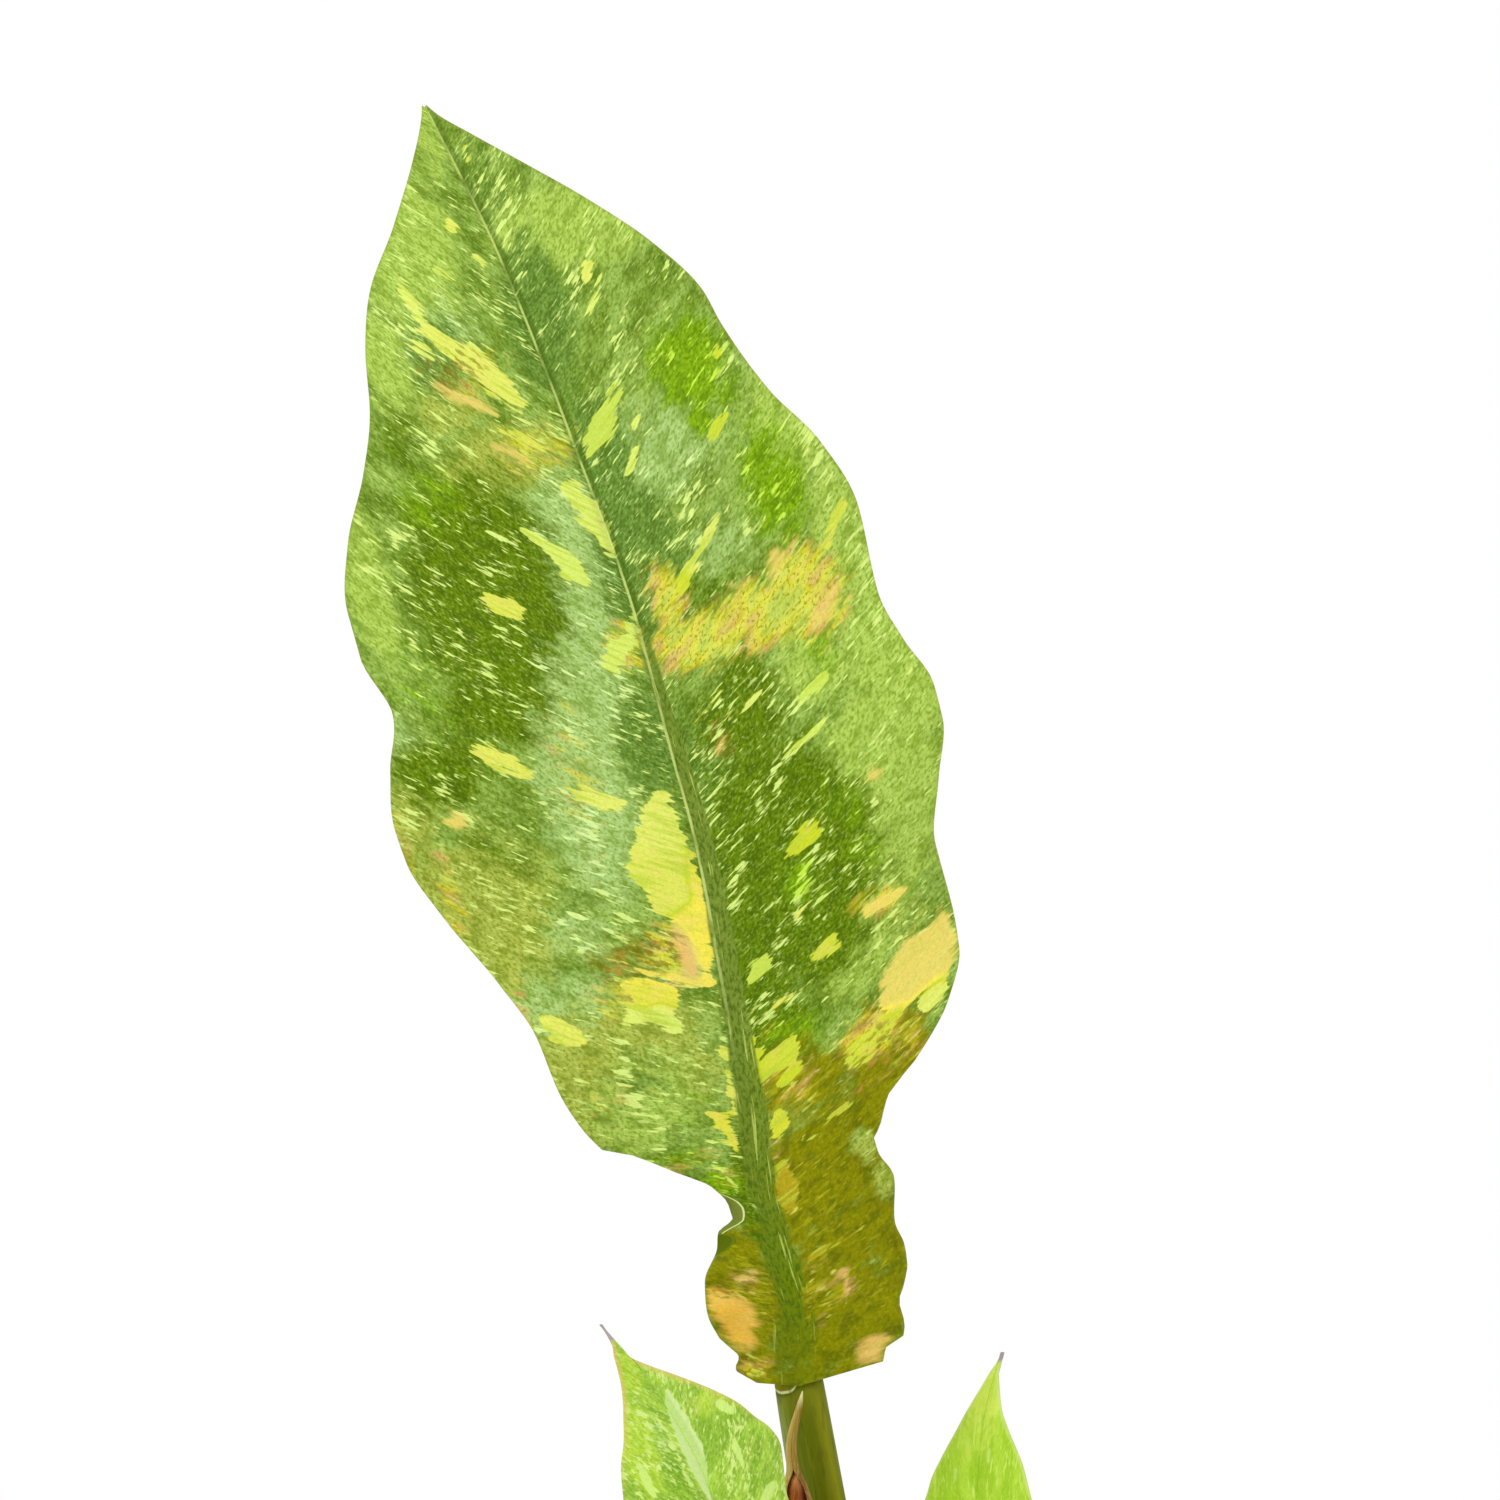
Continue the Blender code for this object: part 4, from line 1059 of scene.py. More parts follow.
def blade_skin(name, look):
    """The skin of one face of a blade, laid down layer by layer."""
    skin, tree, shader = new_skin(name)
    leaf = read_leaf(tree, look)
    tissue = lay_ground(tree, leaf, look)
    for lay in LAYERS:
        tissue = lay(tree, leaf, look, tissue)
    cells = use(tree, grain, Vein=leaf["vein"], Size=4.2, Amount=look["grain"])
    tissue = paint(tree, 1.0, tissue, cells["Shade"], mode="MULTIPLY")
    tissue = lay_margin(tree, leaf, look, tissue)
    for curl in look["curls"]:
        tissue = lay_curl(tree, leaf, look, tissue, *curl)
    rough = ramp(tree, leaf["patchy"], 0.3, 0.7, look["rough"] - 0.05, look["rough"] + 0.08)
    relief = maths(tree, "MULTIPLY_ADD", leaf["gritty"], 0.5, cells["Height"])
    finish_skin(tree, shader, tissue, rough, relief, 0.25, 0.0003, look["gloss"])
    return skin


print("layers over the ground:", ", ".join(lay.__name__ for lay in LAYERS))

# %% The tall blade's colours
def shades(*stops):
    """Colours written as #rrggbb, spread evenly from 0 to 1 unless a position is given."""
    last = len(stops) - 1
    spread = [stop if isinstance(stop, tuple) else (n / last, stop) for n, stop in enumerate(stops)]
    return [(position, colour(text)) for position, text in spread]


def palette(base, **values):
    """A look built on another one. Every text in it is a colour, written as #rrggbb."""
    colours = {key: colour(value) for key, value in values.items() if isinstance(value, str)}
    return {**base, **values, **colours}


TALL_UPPER = palette(
    {}, lengthwise=False,  # whether the flecks run along the leaf and not along its side veins
    # The sheen colours are a painted reflection; the pale one is partly a painted reflection.
    dark="#789830", green="#98b854", deep="#668402", emerald="#80aa0a", dusk="#6c9036",
    sheen="#accb76", pale="#adcb58", straw="#acba4c", olive="#888900", fleck="#d6ec80",
    sheen_fleck="#d4ee98", emerald_fleck="#c4ea44", olive_fleck="#b8b624",
    shade=(0.44, 0.52, 0.12, 1.0), contrast=0.95, lift=0.6, grain=0.45, rough=0.46, gloss=0.05,
    # How often flecks come across and along the veins, their level, softness, strength and seed.
    flecks=((2.2, 0.46, 0.655, 0.05, 0.6, 11.0), (1.45, 0.28, 0.65, 0.03, 0.95, 23.0),
            (0.9, 0.18, 0.70, 0.02, 1.0, 29.0)),
    marks=shades((0.0, "#b09c18"), (0.02, "#c4c83c"), (0.04, "#c8e45c"), (0.12, "#dcee74"),
                 (0.32, "#e4ea6c"), (0.44, "#e0e45c"), (0.53, "#ccd828"), (0.62, "#e8e24c"),
                 (0.74, "#fcea54"), (0.85, "#ecd66c"), (0.93, "#ecbc74"), (1.0, "#f8bc4c")),
    mark_streak="#bcd23c", mark_blot="#ecd478", mark_cover=0.94, tear=3.2,
    scatter=shades("#b4c43c", "#d2d43c", "#e0d820", "#dcc040", "#d8a864"),
    scatter_shade="#948a14", scatter_strength=0.8, wash=0.8, rust="#746c0a", rust_light="#c08c3e",
    rib="#7c9234", rib_dark="#48660a", rib_thread="#c4d468", rib_foot="#6e8408",
    # The midrib's pale line is a painted highlight, and the dark in its groove a painted shadow.
    rib_line="#d0e080", rib_grain=0.85, rib_threads=0.75, rib_strength=0.92, groove=0.6, ridge=0.85,
    edge="#8c9c3c", edge_reach=0.45, edge_strength=0.35, edge_low=1.0,
    tip=1.1, tip_colour="#b0a4a0",  # a tip above 1 leaves no dried end
    # Each curl's middle and half length along the leaf, its reach in mm, its back and its line.
    # The first curl's pale line is a painted highlight on the fold's edge; the second curl is the
    # fold's underside in painted shadow, its back and line both dark.
    curls=((0.137, 0.0155, 1.8, "#7c8a34", "#dce89c"), (0.117, 0.0075, 2.1, "#5c6c08", "#6c7c10")),
)
TALL_UNDER = palette(
    TALL_UPPER, dark="#86a052", green="#94ae5e", deep="#7f9a48", emerald="#86a644", dusk="#84a05c",
    # On the lower face too, the sheen colour is a painted reflection.
    sheen="#9cb56c", straw="#a4b060", fleck="#bccd86", rib="#a4bd72", rib_dark="#8aa45a",
    # The midrib's pale line is a painted highlight, and the dark in its groove a painted shadow.
    rib_thread="#bcd08c", rib_foot="#9aa648", rib_line="#b0c880", rib_strength=0.7, contrast=0.4,
    lift=0.4, scatter_strength=0.5, wash=0.3, groove=0.1, mark_cover=0.75, rough=0.55,
)
tall_blade.data.materials.append(blade_skin("tall_blade_upper_skin", TALL_UPPER))
tall_blade.data.materials.append(blade_skin("tall_blade_under_skin", TALL_UNDER))
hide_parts("leaf_tall")
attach(tall_blade, "root")
print("tall blade stands", round(tall_blade.dimensions.z / MM, 1), "mm high")

# %% [markdown]
# ## The two lower blades
#
# The younger leaves are lime green. The left one is speckled and carries one long pale streak
# beside its midrib; the right one is almost plain. Both end in a fine drip tip, which on the
# left one has dried to a grey thread. The same function makes them, with their own outlines.

# %% The lower blades' outlines, veins and marks
LOWER = dict(
    climbs=2 * (
        ((0.0, 0.15), (0.12, 0.42), (0.20, 0.40), (0.50, 0.62), (0.80, 0.95), (1.0, 1.10)),
    ),
    shape=dict(keel=0.0190, fold=0.22, sag=0.16, ripple=0.010, ripples=3.4, phase=(0.2, 2.0),
               arch=0.060, groove=0.0050, crinkle=0.0, curl=None),
    spacing=0.006, columns=34,
)
LEFT = dict(
    LOWER,
    length=blade_length("leaf_left", 0.9465),
    foot=point_in("leaf_left", (0.7692, 0.8282, 0.0029)),
    frame=leaf_frame(-18.0, -4.0, 26.0),
    midrib=((0.0, 0.0), (0.25, 0.020), (0.55, 0.044), (0.78, 0.049), (0.90, 0.033), (1.0, 0.0)),
    outlines=((
        (-0.020, 0.004), (-0.055, 0.020), (-0.068, 0.055), (-0.060, 0.095), (-0.040, 0.125),
        (-0.030, 0.155), (-0.050, 0.180), (-0.090, 0.215), (-0.118, 0.270), (-0.130, 0.350),
        (-0.130, 0.430), (-0.132, 0.500), (-0.122, 0.600), (-0.088, 0.720), (-0.0575, 0.8044),
        (-0.0475, 0.8368), (-0.0325, 0.8666), (-0.0243, 0.8888), (-0.0155, 0.9106),
        (-0.0099, 0.9272), (-0.0056, 0.9443), (-0.0023, 0.9605), (0.0022, 0.9737), (0.0012, 0.986),
        (0.0, 1.000),
    ), (
        (0.020, 0.000), (0.064, 0.012), (0.094, 0.045), (0.100, 0.085), (0.078, 0.130),
        (0.070, 0.155), (0.092, 0.178), (0.138, 0.212), (0.178, 0.285), (0.190, 0.360),
        (0.184, 0.430), (0.200, 0.500), (0.196, 0.560), (0.168, 0.620), (0.147, 0.680),
        (0.1390, 0.727), (0.1452, 0.760), (0.1503, 0.7908), (0.1440, 0.8132), (0.1288, 0.8356),
        (0.1178, 0.8550), (0.0956, 0.8803), (0.0735, 0.9012), (0.0535, 0.9187), (0.0360, 0.9335),
        (0.0148, 0.9539), (0.0025, 0.9737), (0.0028, 0.986), (0.0008, 1.000),
    )),
    marks=(
        ("long streak", 0.5, (
            (43, 900, 2.3), (42, 885, 6.9), (43, 860, 10.9), (44, 828, 13.8), (44, 799, 10.3),
            (42, 775, 4.6), (44, 758, 1.1))),
        ("low patch", 0.2, ((105, 737, 6), (118, 747, 6), (128, 753, 2))),
        ("fleck one", 0.2, ((-27, 837, 2), (-25, 814, 6), (-24, 793, 3))),
        ("fleck two", 0.2, ((95, 820, 2), (95, 802, 5), (95, 784, 2))),
        ("fleck three", 0.25, ((96, 862, 6), (105, 851, 5))),
        ("fleck four", 0.2, ((22, 808, 2), (26, 788, 3))),
        ("hidden band", 0.3, ((70, 560, 8), (110, 600, 14), (140, 640, 6))),
        ("hidden bar", 0.4, ((-40, 420, 4), (-70, 450, 9), (-90, 470, 4))),
        ("hidden wedge", 0.3, ((40, 360, 4), (70, 390, 12), (120, 430, 8))),
    ),
    tones=dict(
        pale=(
            ("left margin", -20, 860, 22, 70, 0.9), ("tip", 6, 935, 16, 30, 0.8),
            ("upper margin", 95, 868, 46, 18, 0.5), ("low margin", 180, 420, 26, 130, 0.7),
        ),
        deep=(
            ("right side", 95, 800, 36, 60, 0.5), ("left side", 10, 800, 22, 50, 0.6),
            ("lower half", 60, 430, 110, 190, 0.7),
        ),
        # A painted reflection beside the midrib.
        sheen=(
            ("beside midrib", 10, 840, 14, 50, 0.4),
        ),
        scatter=(
            ("upper margin", 80, 875, 40, 16, 0.6), ("side", 110, 800, 30, 50, 0.5),
        ),
        blush=(
            ("upper margin", 60, 906, 44, 9, 0.45),
        ),
    ),
)
RIGHT = dict(
    LOWER,
    length=blade_length("leaf_right", 0.993),
    foot=point_in("leaf_right", (0.634, 0.5757, 0.0016)),
    frame=leaf_frame(1.2, 4.0, -36.0),
    midrib=((0.0, 0.0), (0.35, 0.002), (0.70, -0.003), (0.90, -0.012), (1.0, 0.0)),
    outlines=((
        (-0.020, 0.003), (-0.070, 0.018), (-0.088, 0.060), (-0.076, 0.108), (-0.056, 0.138),
        (-0.062, 0.168), (-0.098, 0.200), (-0.142, 0.262), (-0.166, 0.350), (-0.168, 0.440),
        (-0.158, 0.520), (-0.160, 0.600), (-0.142, 0.680), (-0.115, 0.760), (-0.0880, 0.8091),
        (-0.0803, 0.8351), (-0.0668, 0.8614), (-0.0481, 0.8967), (-0.0359, 0.9226),
        (-0.0216, 0.9511), (-0.0096, 0.9753), (-0.0022, 0.9880), (-0.0008, 0.9920), (0.0, 1.000),
    ), (
        (0.020, 0.002), (0.056, 0.018), (0.070, 0.055), (0.060, 0.100), (0.044, 0.136),
        (0.054, 0.166), (0.088, 0.200), (0.126, 0.268), (0.150, 0.360), (0.148, 0.450),
        (0.140, 0.530), (0.145, 0.610), (0.124, 0.690), (0.102, 0.770), (0.0850, 0.8150),
        (0.0765, 0.8376), (0.0655, 0.8609), (0.0500, 0.8813), (0.0311, 0.9039), (0.0147, 0.9280),
        (0.0059, 0.9526), (0.0000, 0.9757), (-0.0012, 0.9880), (0.0000, 0.9920), (0.001, 1.000),
    )),
    marks=(
        ("dash one", 0.1, ((-28, 886, 1), (-27, 874, 1.5))),
        ("dash two", 0.1, ((6, 876, 1), (7, 862, 1.5))),
        ("dash three", 0.1, ((-42, 848, 1.5), (-40, 832, 1))),
        ("dash four", 0.1, ((30, 842, 1), (32, 828, 1.5))),
        ("hidden bar", 0.2, ((50, 520, 3), (80, 545, 7), (100, 560, 3))),
        ("hidden streak", 0.2, ((-60, 300, 2), (-90, 330, 5), (-110, 350, 2))),
    ),
    tones=dict(
        pale=(
            ("tip", -6, 950, 30, 40, 0.8), ("top", -15, 900, 44, 40, 0.5),
        ),
        deep=(
            ("lower half", -10, 420, 130, 240, 0.8), ("below", -20, 760, 60, 60, 0.35),
        ),
    ),
)
lower_blades = {name: make_blade(name, leaf)
                for name, leaf in (("left_blade", LEFT), ("right_blade", RIGHT))}

# %% The lower blades' colours
LEFT_UPPER = palette(
    # The sheen colours are a painted reflection.
    TALL_UPPER, dark="#98c040", green="#b2d84c", deep="#86b42c", sheen="#9cc45c", pale="#bcdc44",
    olive="#b4b430", fleck="#d8f088", sheen_fleck="#d0ec98", shade=(0.55, 0.68, 0.34, 1.0),
    contrast=0.8, lift=0.8, grain=0.3, curls=(),
    flecks=((1.9, 1.1, 0.62, 0.06, 0.6, 11.0), (1.2, 0.75, 0.62, 0.04, 0.8, 23.0),
            (0.7, 0.45, 0.68, 0.03, 0.9, 29.0)),
    marks=shades((0.0, "#c4ea5c"), (0.3, "#d4f080"), (0.5, "#d2ea98"), (1.0, "#e0c468")),
    mark_streak="#c8e48c", mark_blot="#dceca0", tear=0.7,
    scatter=shades("#b4d850", "#cce070", "#d8cc70"), scatter_shade="#9cb838",
    scatter_strength=0.4, wash=0.3, rust="#b8a840", rust_light="#d8b868", rib="#9ccc40",
    # The midrib's pale line is a painted highlight, and the dark in its groove a painted shadow.
    rib_dark="#84b42c", rib_thread="#c4e474", rib_line="#c8ec70", rib_foot="#8aa81c", groove=0.25,
    ridge=0.5, edge="#dcc46c", edge_reach=0.8, edge_strength=0.7, edge_low=0.15, tip=0.974,
)
LEFT_UNDER = palette(LEFT_UPPER, dark="#a4c860", green="#b0d068", deep="#a0c458", pale="#bcd878",
                     rib="#c4dc88", contrast=0.3, rough=0.55)
RIGHT_UPPER = palette(
    LEFT_UPPER, lengthwise=True, dark="#acd634", green="#bce244", deep="#94c60c", pale="#daf060",
    fleck="#d2f068", shade=(0.72, 0.84, 0.4, 1.0), contrast=0.6, lift=0.5, grain=0.15, tear=1.4,
    flecks=((2.0, 0.50, 0.64, 0.06, 0.5, 11.0), (1.3, 0.34, 0.64, 0.04, 0.8, 23.0),
            (0.8, 0.24, 0.69, 0.03, 0.9, 29.0)),
    # The midrib's pale line is a painted highlight, and the dark in its groove a painted shadow.
    rib="#b4dc3c", rib_dark="#a4cc28", rib_thread="#c2e25c", rib_line="#c4e858", groove=0.1,
    ridge=0.25, edge="#dcee90", edge_reach=0.6, edge_strength=0.5, edge_low=1.0, tip=0.984,
)
RIGHT_UNDER = palette(RIGHT_UPPER, dark="#b4d662", green="#bcdc6a", deep="#b0d45c", contrast=0.2,
                      rough=0.55)
for (name, blade), upper, under, node in zip(
        lower_blades.items(), (LEFT_UPPER, RIGHT_UPPER), (LEFT_UNDER, RIGHT_UNDER),
        ("leaf_left", "leaf_right")):
    blade.data.materials.append(blade_skin(name + "_upper_skin", upper))
    blade.data.materials.append(blade_skin(name + "_under_skin", under))
    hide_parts(node)
    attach(blade, "root")
    print(name, "stands", round(blade.dimensions.z / MM, 1), "mm high")

# %% [markdown]
# ## Stalks, stem, sheath and new leaf
#
# All of these are tubes of a changing section. By hand one would fill a circle and extrude it
# upwards ring by ring; that is what the next function does, and it then moves each ring to its
# place on a bent path and gives it its own outline. A piece's outline may also be that of an
# open channel, an arc out and back, which is how the sheath is made.

# %% A tube of changing section along a path
def bezier(points, share):
    """Points and directions of the curve that four control points pull, at several shares."""
    a, b, c, d = (np.array(p, float) for p in points)
    t = np.asarray(share, float)[:, None]
    r = 1 - t
    place = a * r ** 3 + b * 3 * r * r * t + c * 3 * r * t * t + d * t ** 3
    along = (b - a) * 3 * r * r + (c - b) * 6 * r * t + (d - c) * 3 * t * t
    return place, along / np.linalg.norm(along, axis=1)[:, None]


def make_tube(name, points, shares, section, sides):
    """A closed tube along a path. section(share) gives its outline as (across, forwards)."""
    deselect()
    bpy.ops.mesh.primitive_circle_add(vertices=sides, radius=1.0, fill_type="NGON")
    tube = bpy.context.object
    tube.name = tube.data.name = name
    bpy.ops.object.mode_set(mode="EDIT")
    bpy.ops.mesh.select_all(action="SELECT")
    for _ in shares[1:]:
        bpy.ops.mesh.extrude_region_move(TRANSFORM_OT_translate={"value": (0, 0, 1)})
    bpy.ops.object.mode_set(mode="OBJECT")
    mesh = tube.data
    flat = np.empty(len(mesh.vertices) * 3)
    mesh.vertices.foreach_get("co", flat)
    flat = flat.reshape(-1, 3)
    level = np.rint(flat[:, 2]).astype(int)
    turn = np.arctan2(flat[:, 1], flat[:, 0])
    step = np.rint(turn / math.tau * sides).astype(int) % sides
    place, along = bezier(points, shares)
    side = np.cross((0.0, -1.0, 0.0), along)
    side /= np.linalg.norm(side, axis=1)[:, None]
    side *= np.sign(side[:, :1])
    front = np.cross(along, side)
    front *= -np.sign(front[:, 1:2])
    outline = np.array([section(s) for s in shares])
    across, forwards = outline[level, step, 0], outline[level, step, 1]
    placed = place[level] + side[level] * across[:, None] + front[level] * forwards[:, None]
    mesh.vertices.foreach_set("co", placed.ravel())
    run = np.concatenate([[0.0], np.cumsum(np.linalg.norm(np.diff(place, axis=0), axis=1))])
    half = np.abs(outline[..., 0]).max(axis=1)
    skin = np.stack([across / half[level], forwards / half[level], np.array(shares)[level]], -1)
    millimetres = np.stack([across, forwards, run[level]], -1) / MM
    for label, rows in (("tube_share", skin), ("tube_place", millimetres)):
        layer = mesh.attributes.new(label, "FLOAT_VECTOR", "POINT")
        layer.data.foreach_set("vector", rows.ravel())
    mesh.update()
    bpy.ops.object.mode_set(mode="EDIT")
    bpy.ops.mesh.select_all(action="SELECT")
    bpy.ops.mesh.normals_make_consistent(inside=False)
    bpy.ops.object.mode_set(mode="OBJECT")
    smooth_shade(tube, 50)
    print(name, "has", len(shares), "rings of", sides, "and", len(mesh.polygons), "faces")
    return tube


def turn_angles(sides):
    """The direction of each side of a tube, right round, starting across it."""
    return np.arange(sides) * math.tau / sides


def ring(radius, angle):
    """Points at a distance in each of these directions, as (across, forwards)."""
    return np.stack([radius * np.cos(angle), radius * np.sin(angle)], -1)


# %% The stalks
OVERLAP = 0.0024  # how far a stalk runs on behind the foot of its blade
STALK_DEPTH = 0.92  # from front to back, as a share of the width
RIDGE = 0.06  # height of the ridges beside the channel, as a share of half the width
TOE_END = 0.04  # up to this share of its length a stalk's foot widens from a blunt point,
SWELL_END = 0.22  # its swelling ends at this one,
CROWN_START, CROWN_REACH = 0.988, 0.0125  # and its top is rounded off from this one on


def stalk_outline(low, high, sides, swell):
    """Oval, with a shallow channel down the front between two blunt ridges.

    low and high are its widths at the foot and the top, and swell is what the foot adds."""
    angle = turn_angles(sides)
    across, forwards = np.cos(angle), np.sin(angle)
    flatten = 1 - 0.35 * np.exp(-(across / 0.45) ** 2)
    crest = RIDGE * np.exp(-((np.abs(across) - 0.74) / 0.10) ** 2)
    front = np.where(forwards > 0, 0.72 * forwards * flatten + crest * (forwards > 0.2), forwards)

    def section(share):
        grown = swell * max(1 - share / SWELL_END, 0) ** 2
        toe = min(1.0, 0.55 + share / TOE_END * 0.45)
        crown = math.sqrt(max(1 - (max(share - CROWN_START, 0) / CROWN_REACH) ** 2, 0.06))
        half = (high + (low - high) * (1 - share) ** 0.6 + grown) * toe * crown / 2
        return np.stack([half * across, half * STALK_DEPTH * front], -1)

    return section


def stalk_route(foot, end, tangent):
    """Straight up from the stem, bending over to meet the blade square to its midrib."""
    foot, end = np.array(foot), np.array(end)
    tangent = np.array(tangent) / np.linalg.norm(tangent)
    reach = np.linalg.norm(end - foot) * 0.38
    return foot, foot + np.array((0.0, 0.0, 1.0)) * reach, end - tangent * reach, end


def stalk_end(leaf, depth, aside):
    """Where a stalk ends: behind its blade's foot by a depth, and aside of it."""
    return leaf["foot"] + leaf["frame"] @ np.array((aside, depth, OVERLAP))


def make_stalk(name, foot, end, tangent, steps, sides, low, high, swell):
    """Rings in even steps up the stalk, and in close ones round its top."""
    shares = np.concatenate([np.linspace(0, 0.98, steps), np.linspace(0.985, 1.0, 14)])
    outline = stalk_outline(low, high, sides, swell)
    return make_tube(name, stalk_route(foot, end, tangent), shares, outline, sides)


tall_stalk = make_stalk(
    "tall_stalk", point_in("stalk_tall", (0.8155, 0.2943, 0.0)), stalk_end(TALL, 0.0026, 0.0003),
    (-0.165, 0.02, 1.0), 80, 48, 0.0090, 0.0061, 0.0016)
left_stalk = make_stalk(
    "left_stalk", point_in("stalk_left", (0.4978, 0.7706, 0.0)), stalk_end(LEFT, 0.0018, 0.0),
    (-0.12, -0.10, 1.0), 54, 36, 0.0064, 0.0042, 0.0012)
right_stalk = make_stalk(
    "right_stalk", point_in("stalk_right", (0.5001, 0.1061, 0.0)), stalk_end(RIGHT, 0.0018, 0.0),
    (0.02, 0.14, 1.0), 54, 36, 0.0064, 0.0042, 0.0012)

# %% [markdown]
# ### The sheath and the new leaf
#
# The newest leaf is still rolled up tight, like a thin red-brown cigar. It stands inside a
# papery tan sheath, which is open down its front and closes to a fine hooked tip above the roll.

# %% Outlines of the rolled leaf, the sheath and the stem
STEM_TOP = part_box("stem")[1][2]
GAP = 0.0003  # left between the stem and the shoot on it
SHOOT = ((0.0, 0.0, STEM_TOP + GAP), (0.0, 0.0005, 0.145), (-0.0205, 0.0018, 0.190),
         (-0.0155, 0.0026, 0.2242))
ROLL_REACH = 0.904  # how far up the shoot the rolled leaf reaches
HOOK_PLACE, HOOK_REACH, HOOK_ASIDE = 0.935, 0.040, -0.0008  # the bend near the sheath's tip
roll_radius = curve((
    (0.0, 0.0016), (0.10, 0.0024), (0.60, 0.0023), (0.88, 0.0019), (0.95, 0.0015), (0.98, 0.0012),
    (0.993, 0.0008), (1.0, 0.0003),
))
sheath_radius = curve((
    (0.0, 0.0025), (0.0905, 0.0033), (0.543, 0.0032), (0.796, 0.0027), (0.86, 0.0022),
    (0.890, 0.0014), (0.908, 0.00085), (0.935, 0.00068), (0.96, 0.00055), (0.985, 0.00036),
    (1.0, 0.00008),
))
sheath_wall = curve((
    (0.0, 0.0006), (0.80, 0.0005), (0.91, 0.00036), (0.96, 0.0003), (1.0, 0.00005),
))
sheath_mouth = curve((  # half the opening down the front, as a share of half a turn
    (0.0, 0.10), (0.35, 0.16), (0.80, 0.24), (0.885, 0.23), (0.895, 0.15), (0.903, 0.04),
    (0.907, 0.01), (1.0, 0.003),
))


def roll_outline(sides):
    """A spiral seen end on: the radius shrinks round the turn and steps back at the seam."""
    angle = turn_angles(sides)

    def section(share):
        seam = math.pi * (0.42 + 0.5 * share)
        past = (angle - seam) % math.tau / math.tau
        return ring(float(roll_radius(share)) * (1.03 - 0.11 * past), angle)

    return section


def sheath_outline(sides):
    """An arc out and back: its outer face, and then its inner face a wall's thickness in."""

    def section(share):
        far = float(sheath_radius(share))
        near = max(far - float(sheath_wall(share)), far * 0.12)
        gap = float(sheath_mouth(share)) * math.pi
        arc = math.pi / 2 + np.linspace(gap, math.tau - gap, sides // 2)

        def at_lips(reach):
            return np.exp(-((arc - arc[0]) / reach) ** 2) + np.exp(-((arc[-1] - arc) / reach) ** 2)

        rolled = 0.10 * min(max((0.93 - share) / 0.03, 0.0), 1.0)
        lip = 1 + rolled * at_lips(0.25)
        thin = (far - near) * (1 - 0.6 * at_lips(0.2))
        outer, inner = ring(far * lip, arc), ring(far * lip - thin, arc)
        hook = HOOK_ASIDE * math.exp(-((share - HOOK_PLACE) / HOOK_REACH) ** 2)
        return np.concatenate([outer, inner[::-1]]) + (hook, 0.0)

    return section


def stem_outline(sides):
    """Round, with a raised ring at every fifth of its height and a shoulder at the top."""
    angle = turn_angles(sides)

    def section(share):
        node = 0.0004 * math.cos(share * math.tau * 2.5) ** 8
        shoulder = 0.0016 * max(share - 0.86, 0) / 0.14
        return ring(0.0048 + node - shoulder + 0.00012 * np.sin(angle * 5 + share * 9), angle)

    return section


def bezier_part(points, end):
    """The control points of a path's first part, up to the share end."""
    a, b, c, d = (np.array(p, float) for p in points)
    ab, bc, cd = a + (b - a) * end, b + (c - b) * end, c + (d - c) * end
    abc, bcd = ab + (bc - ab) * end, bc + (cd - bc) * end
    return a, ab, abc, abc + (bcd - abc) * end


print("sheath is", round(2 * float(sheath_radius(0.5)) / MM, 1), "mm wide half way up")

# %% Rolled leaf, sheath and stem
new_leaf = make_tube("rolled_leaf", bezier_part(SHOOT, ROLL_REACH), np.linspace(0, 1, 80),
                     roll_outline(36), 36)
sheath_shares = np.concatenate([np.linspace(0, 0.84, 50), np.linspace(0.846, 1.0, 50)])
sheath = make_tube("leaf_sheath", SHOOT, sheath_shares, sheath_outline(56), 56)
stem_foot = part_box("stem")[0][2]
stem_route = [(0.0, 0.0, stem_foot + (STEM_TOP - stem_foot) * n / 3) for n in range(4)]
stem = make_tube("plant_stem", stem_route, np.linspace(0, 1, 60), stem_outline(40), 40)

# %% [markdown]
# ### Skins for the stalks and the shoot
#
# A stalk is smooth and satiny, dark olive in its channel and lighter along its ridges, with fine
# threads running its whole length; the tall one has a painted highlight down its left side. The
# sheath is dry and papery: tan, with brown veins and a red-brown edge. The rolled leaf inside is
# red-brown and glossy.

# %% Threads along a tube, and a tube's skin
tube_threads, given, gives = effect(
    "tube_threads",
    [("Place", VECTOR, None), ("Across", FLOAT, 1.4), ("Along", FLOAT, 0.08),
     ("Level", FLOAT, 0.55), ("Soft", FLOAT, 0.08), ("Seed", FLOAT, 0.0)],
    ["Mask", "Raw"],
)
parts = split(tube_threads, given["Place"])
wound = join(
    tube_threads,
    maths(tube_threads, "MULTIPLY_ADD", parts["X"], given["Across"], given["Seed"]),
    times(tube_threads, parts["Y"], given["Across"]),
    times(tube_threads, parts["Z"], given["Along"]),
)
streak_mask(tube_threads, noise(tube_threads, wound, 1.0, 2.5, 0.55), given, gives)


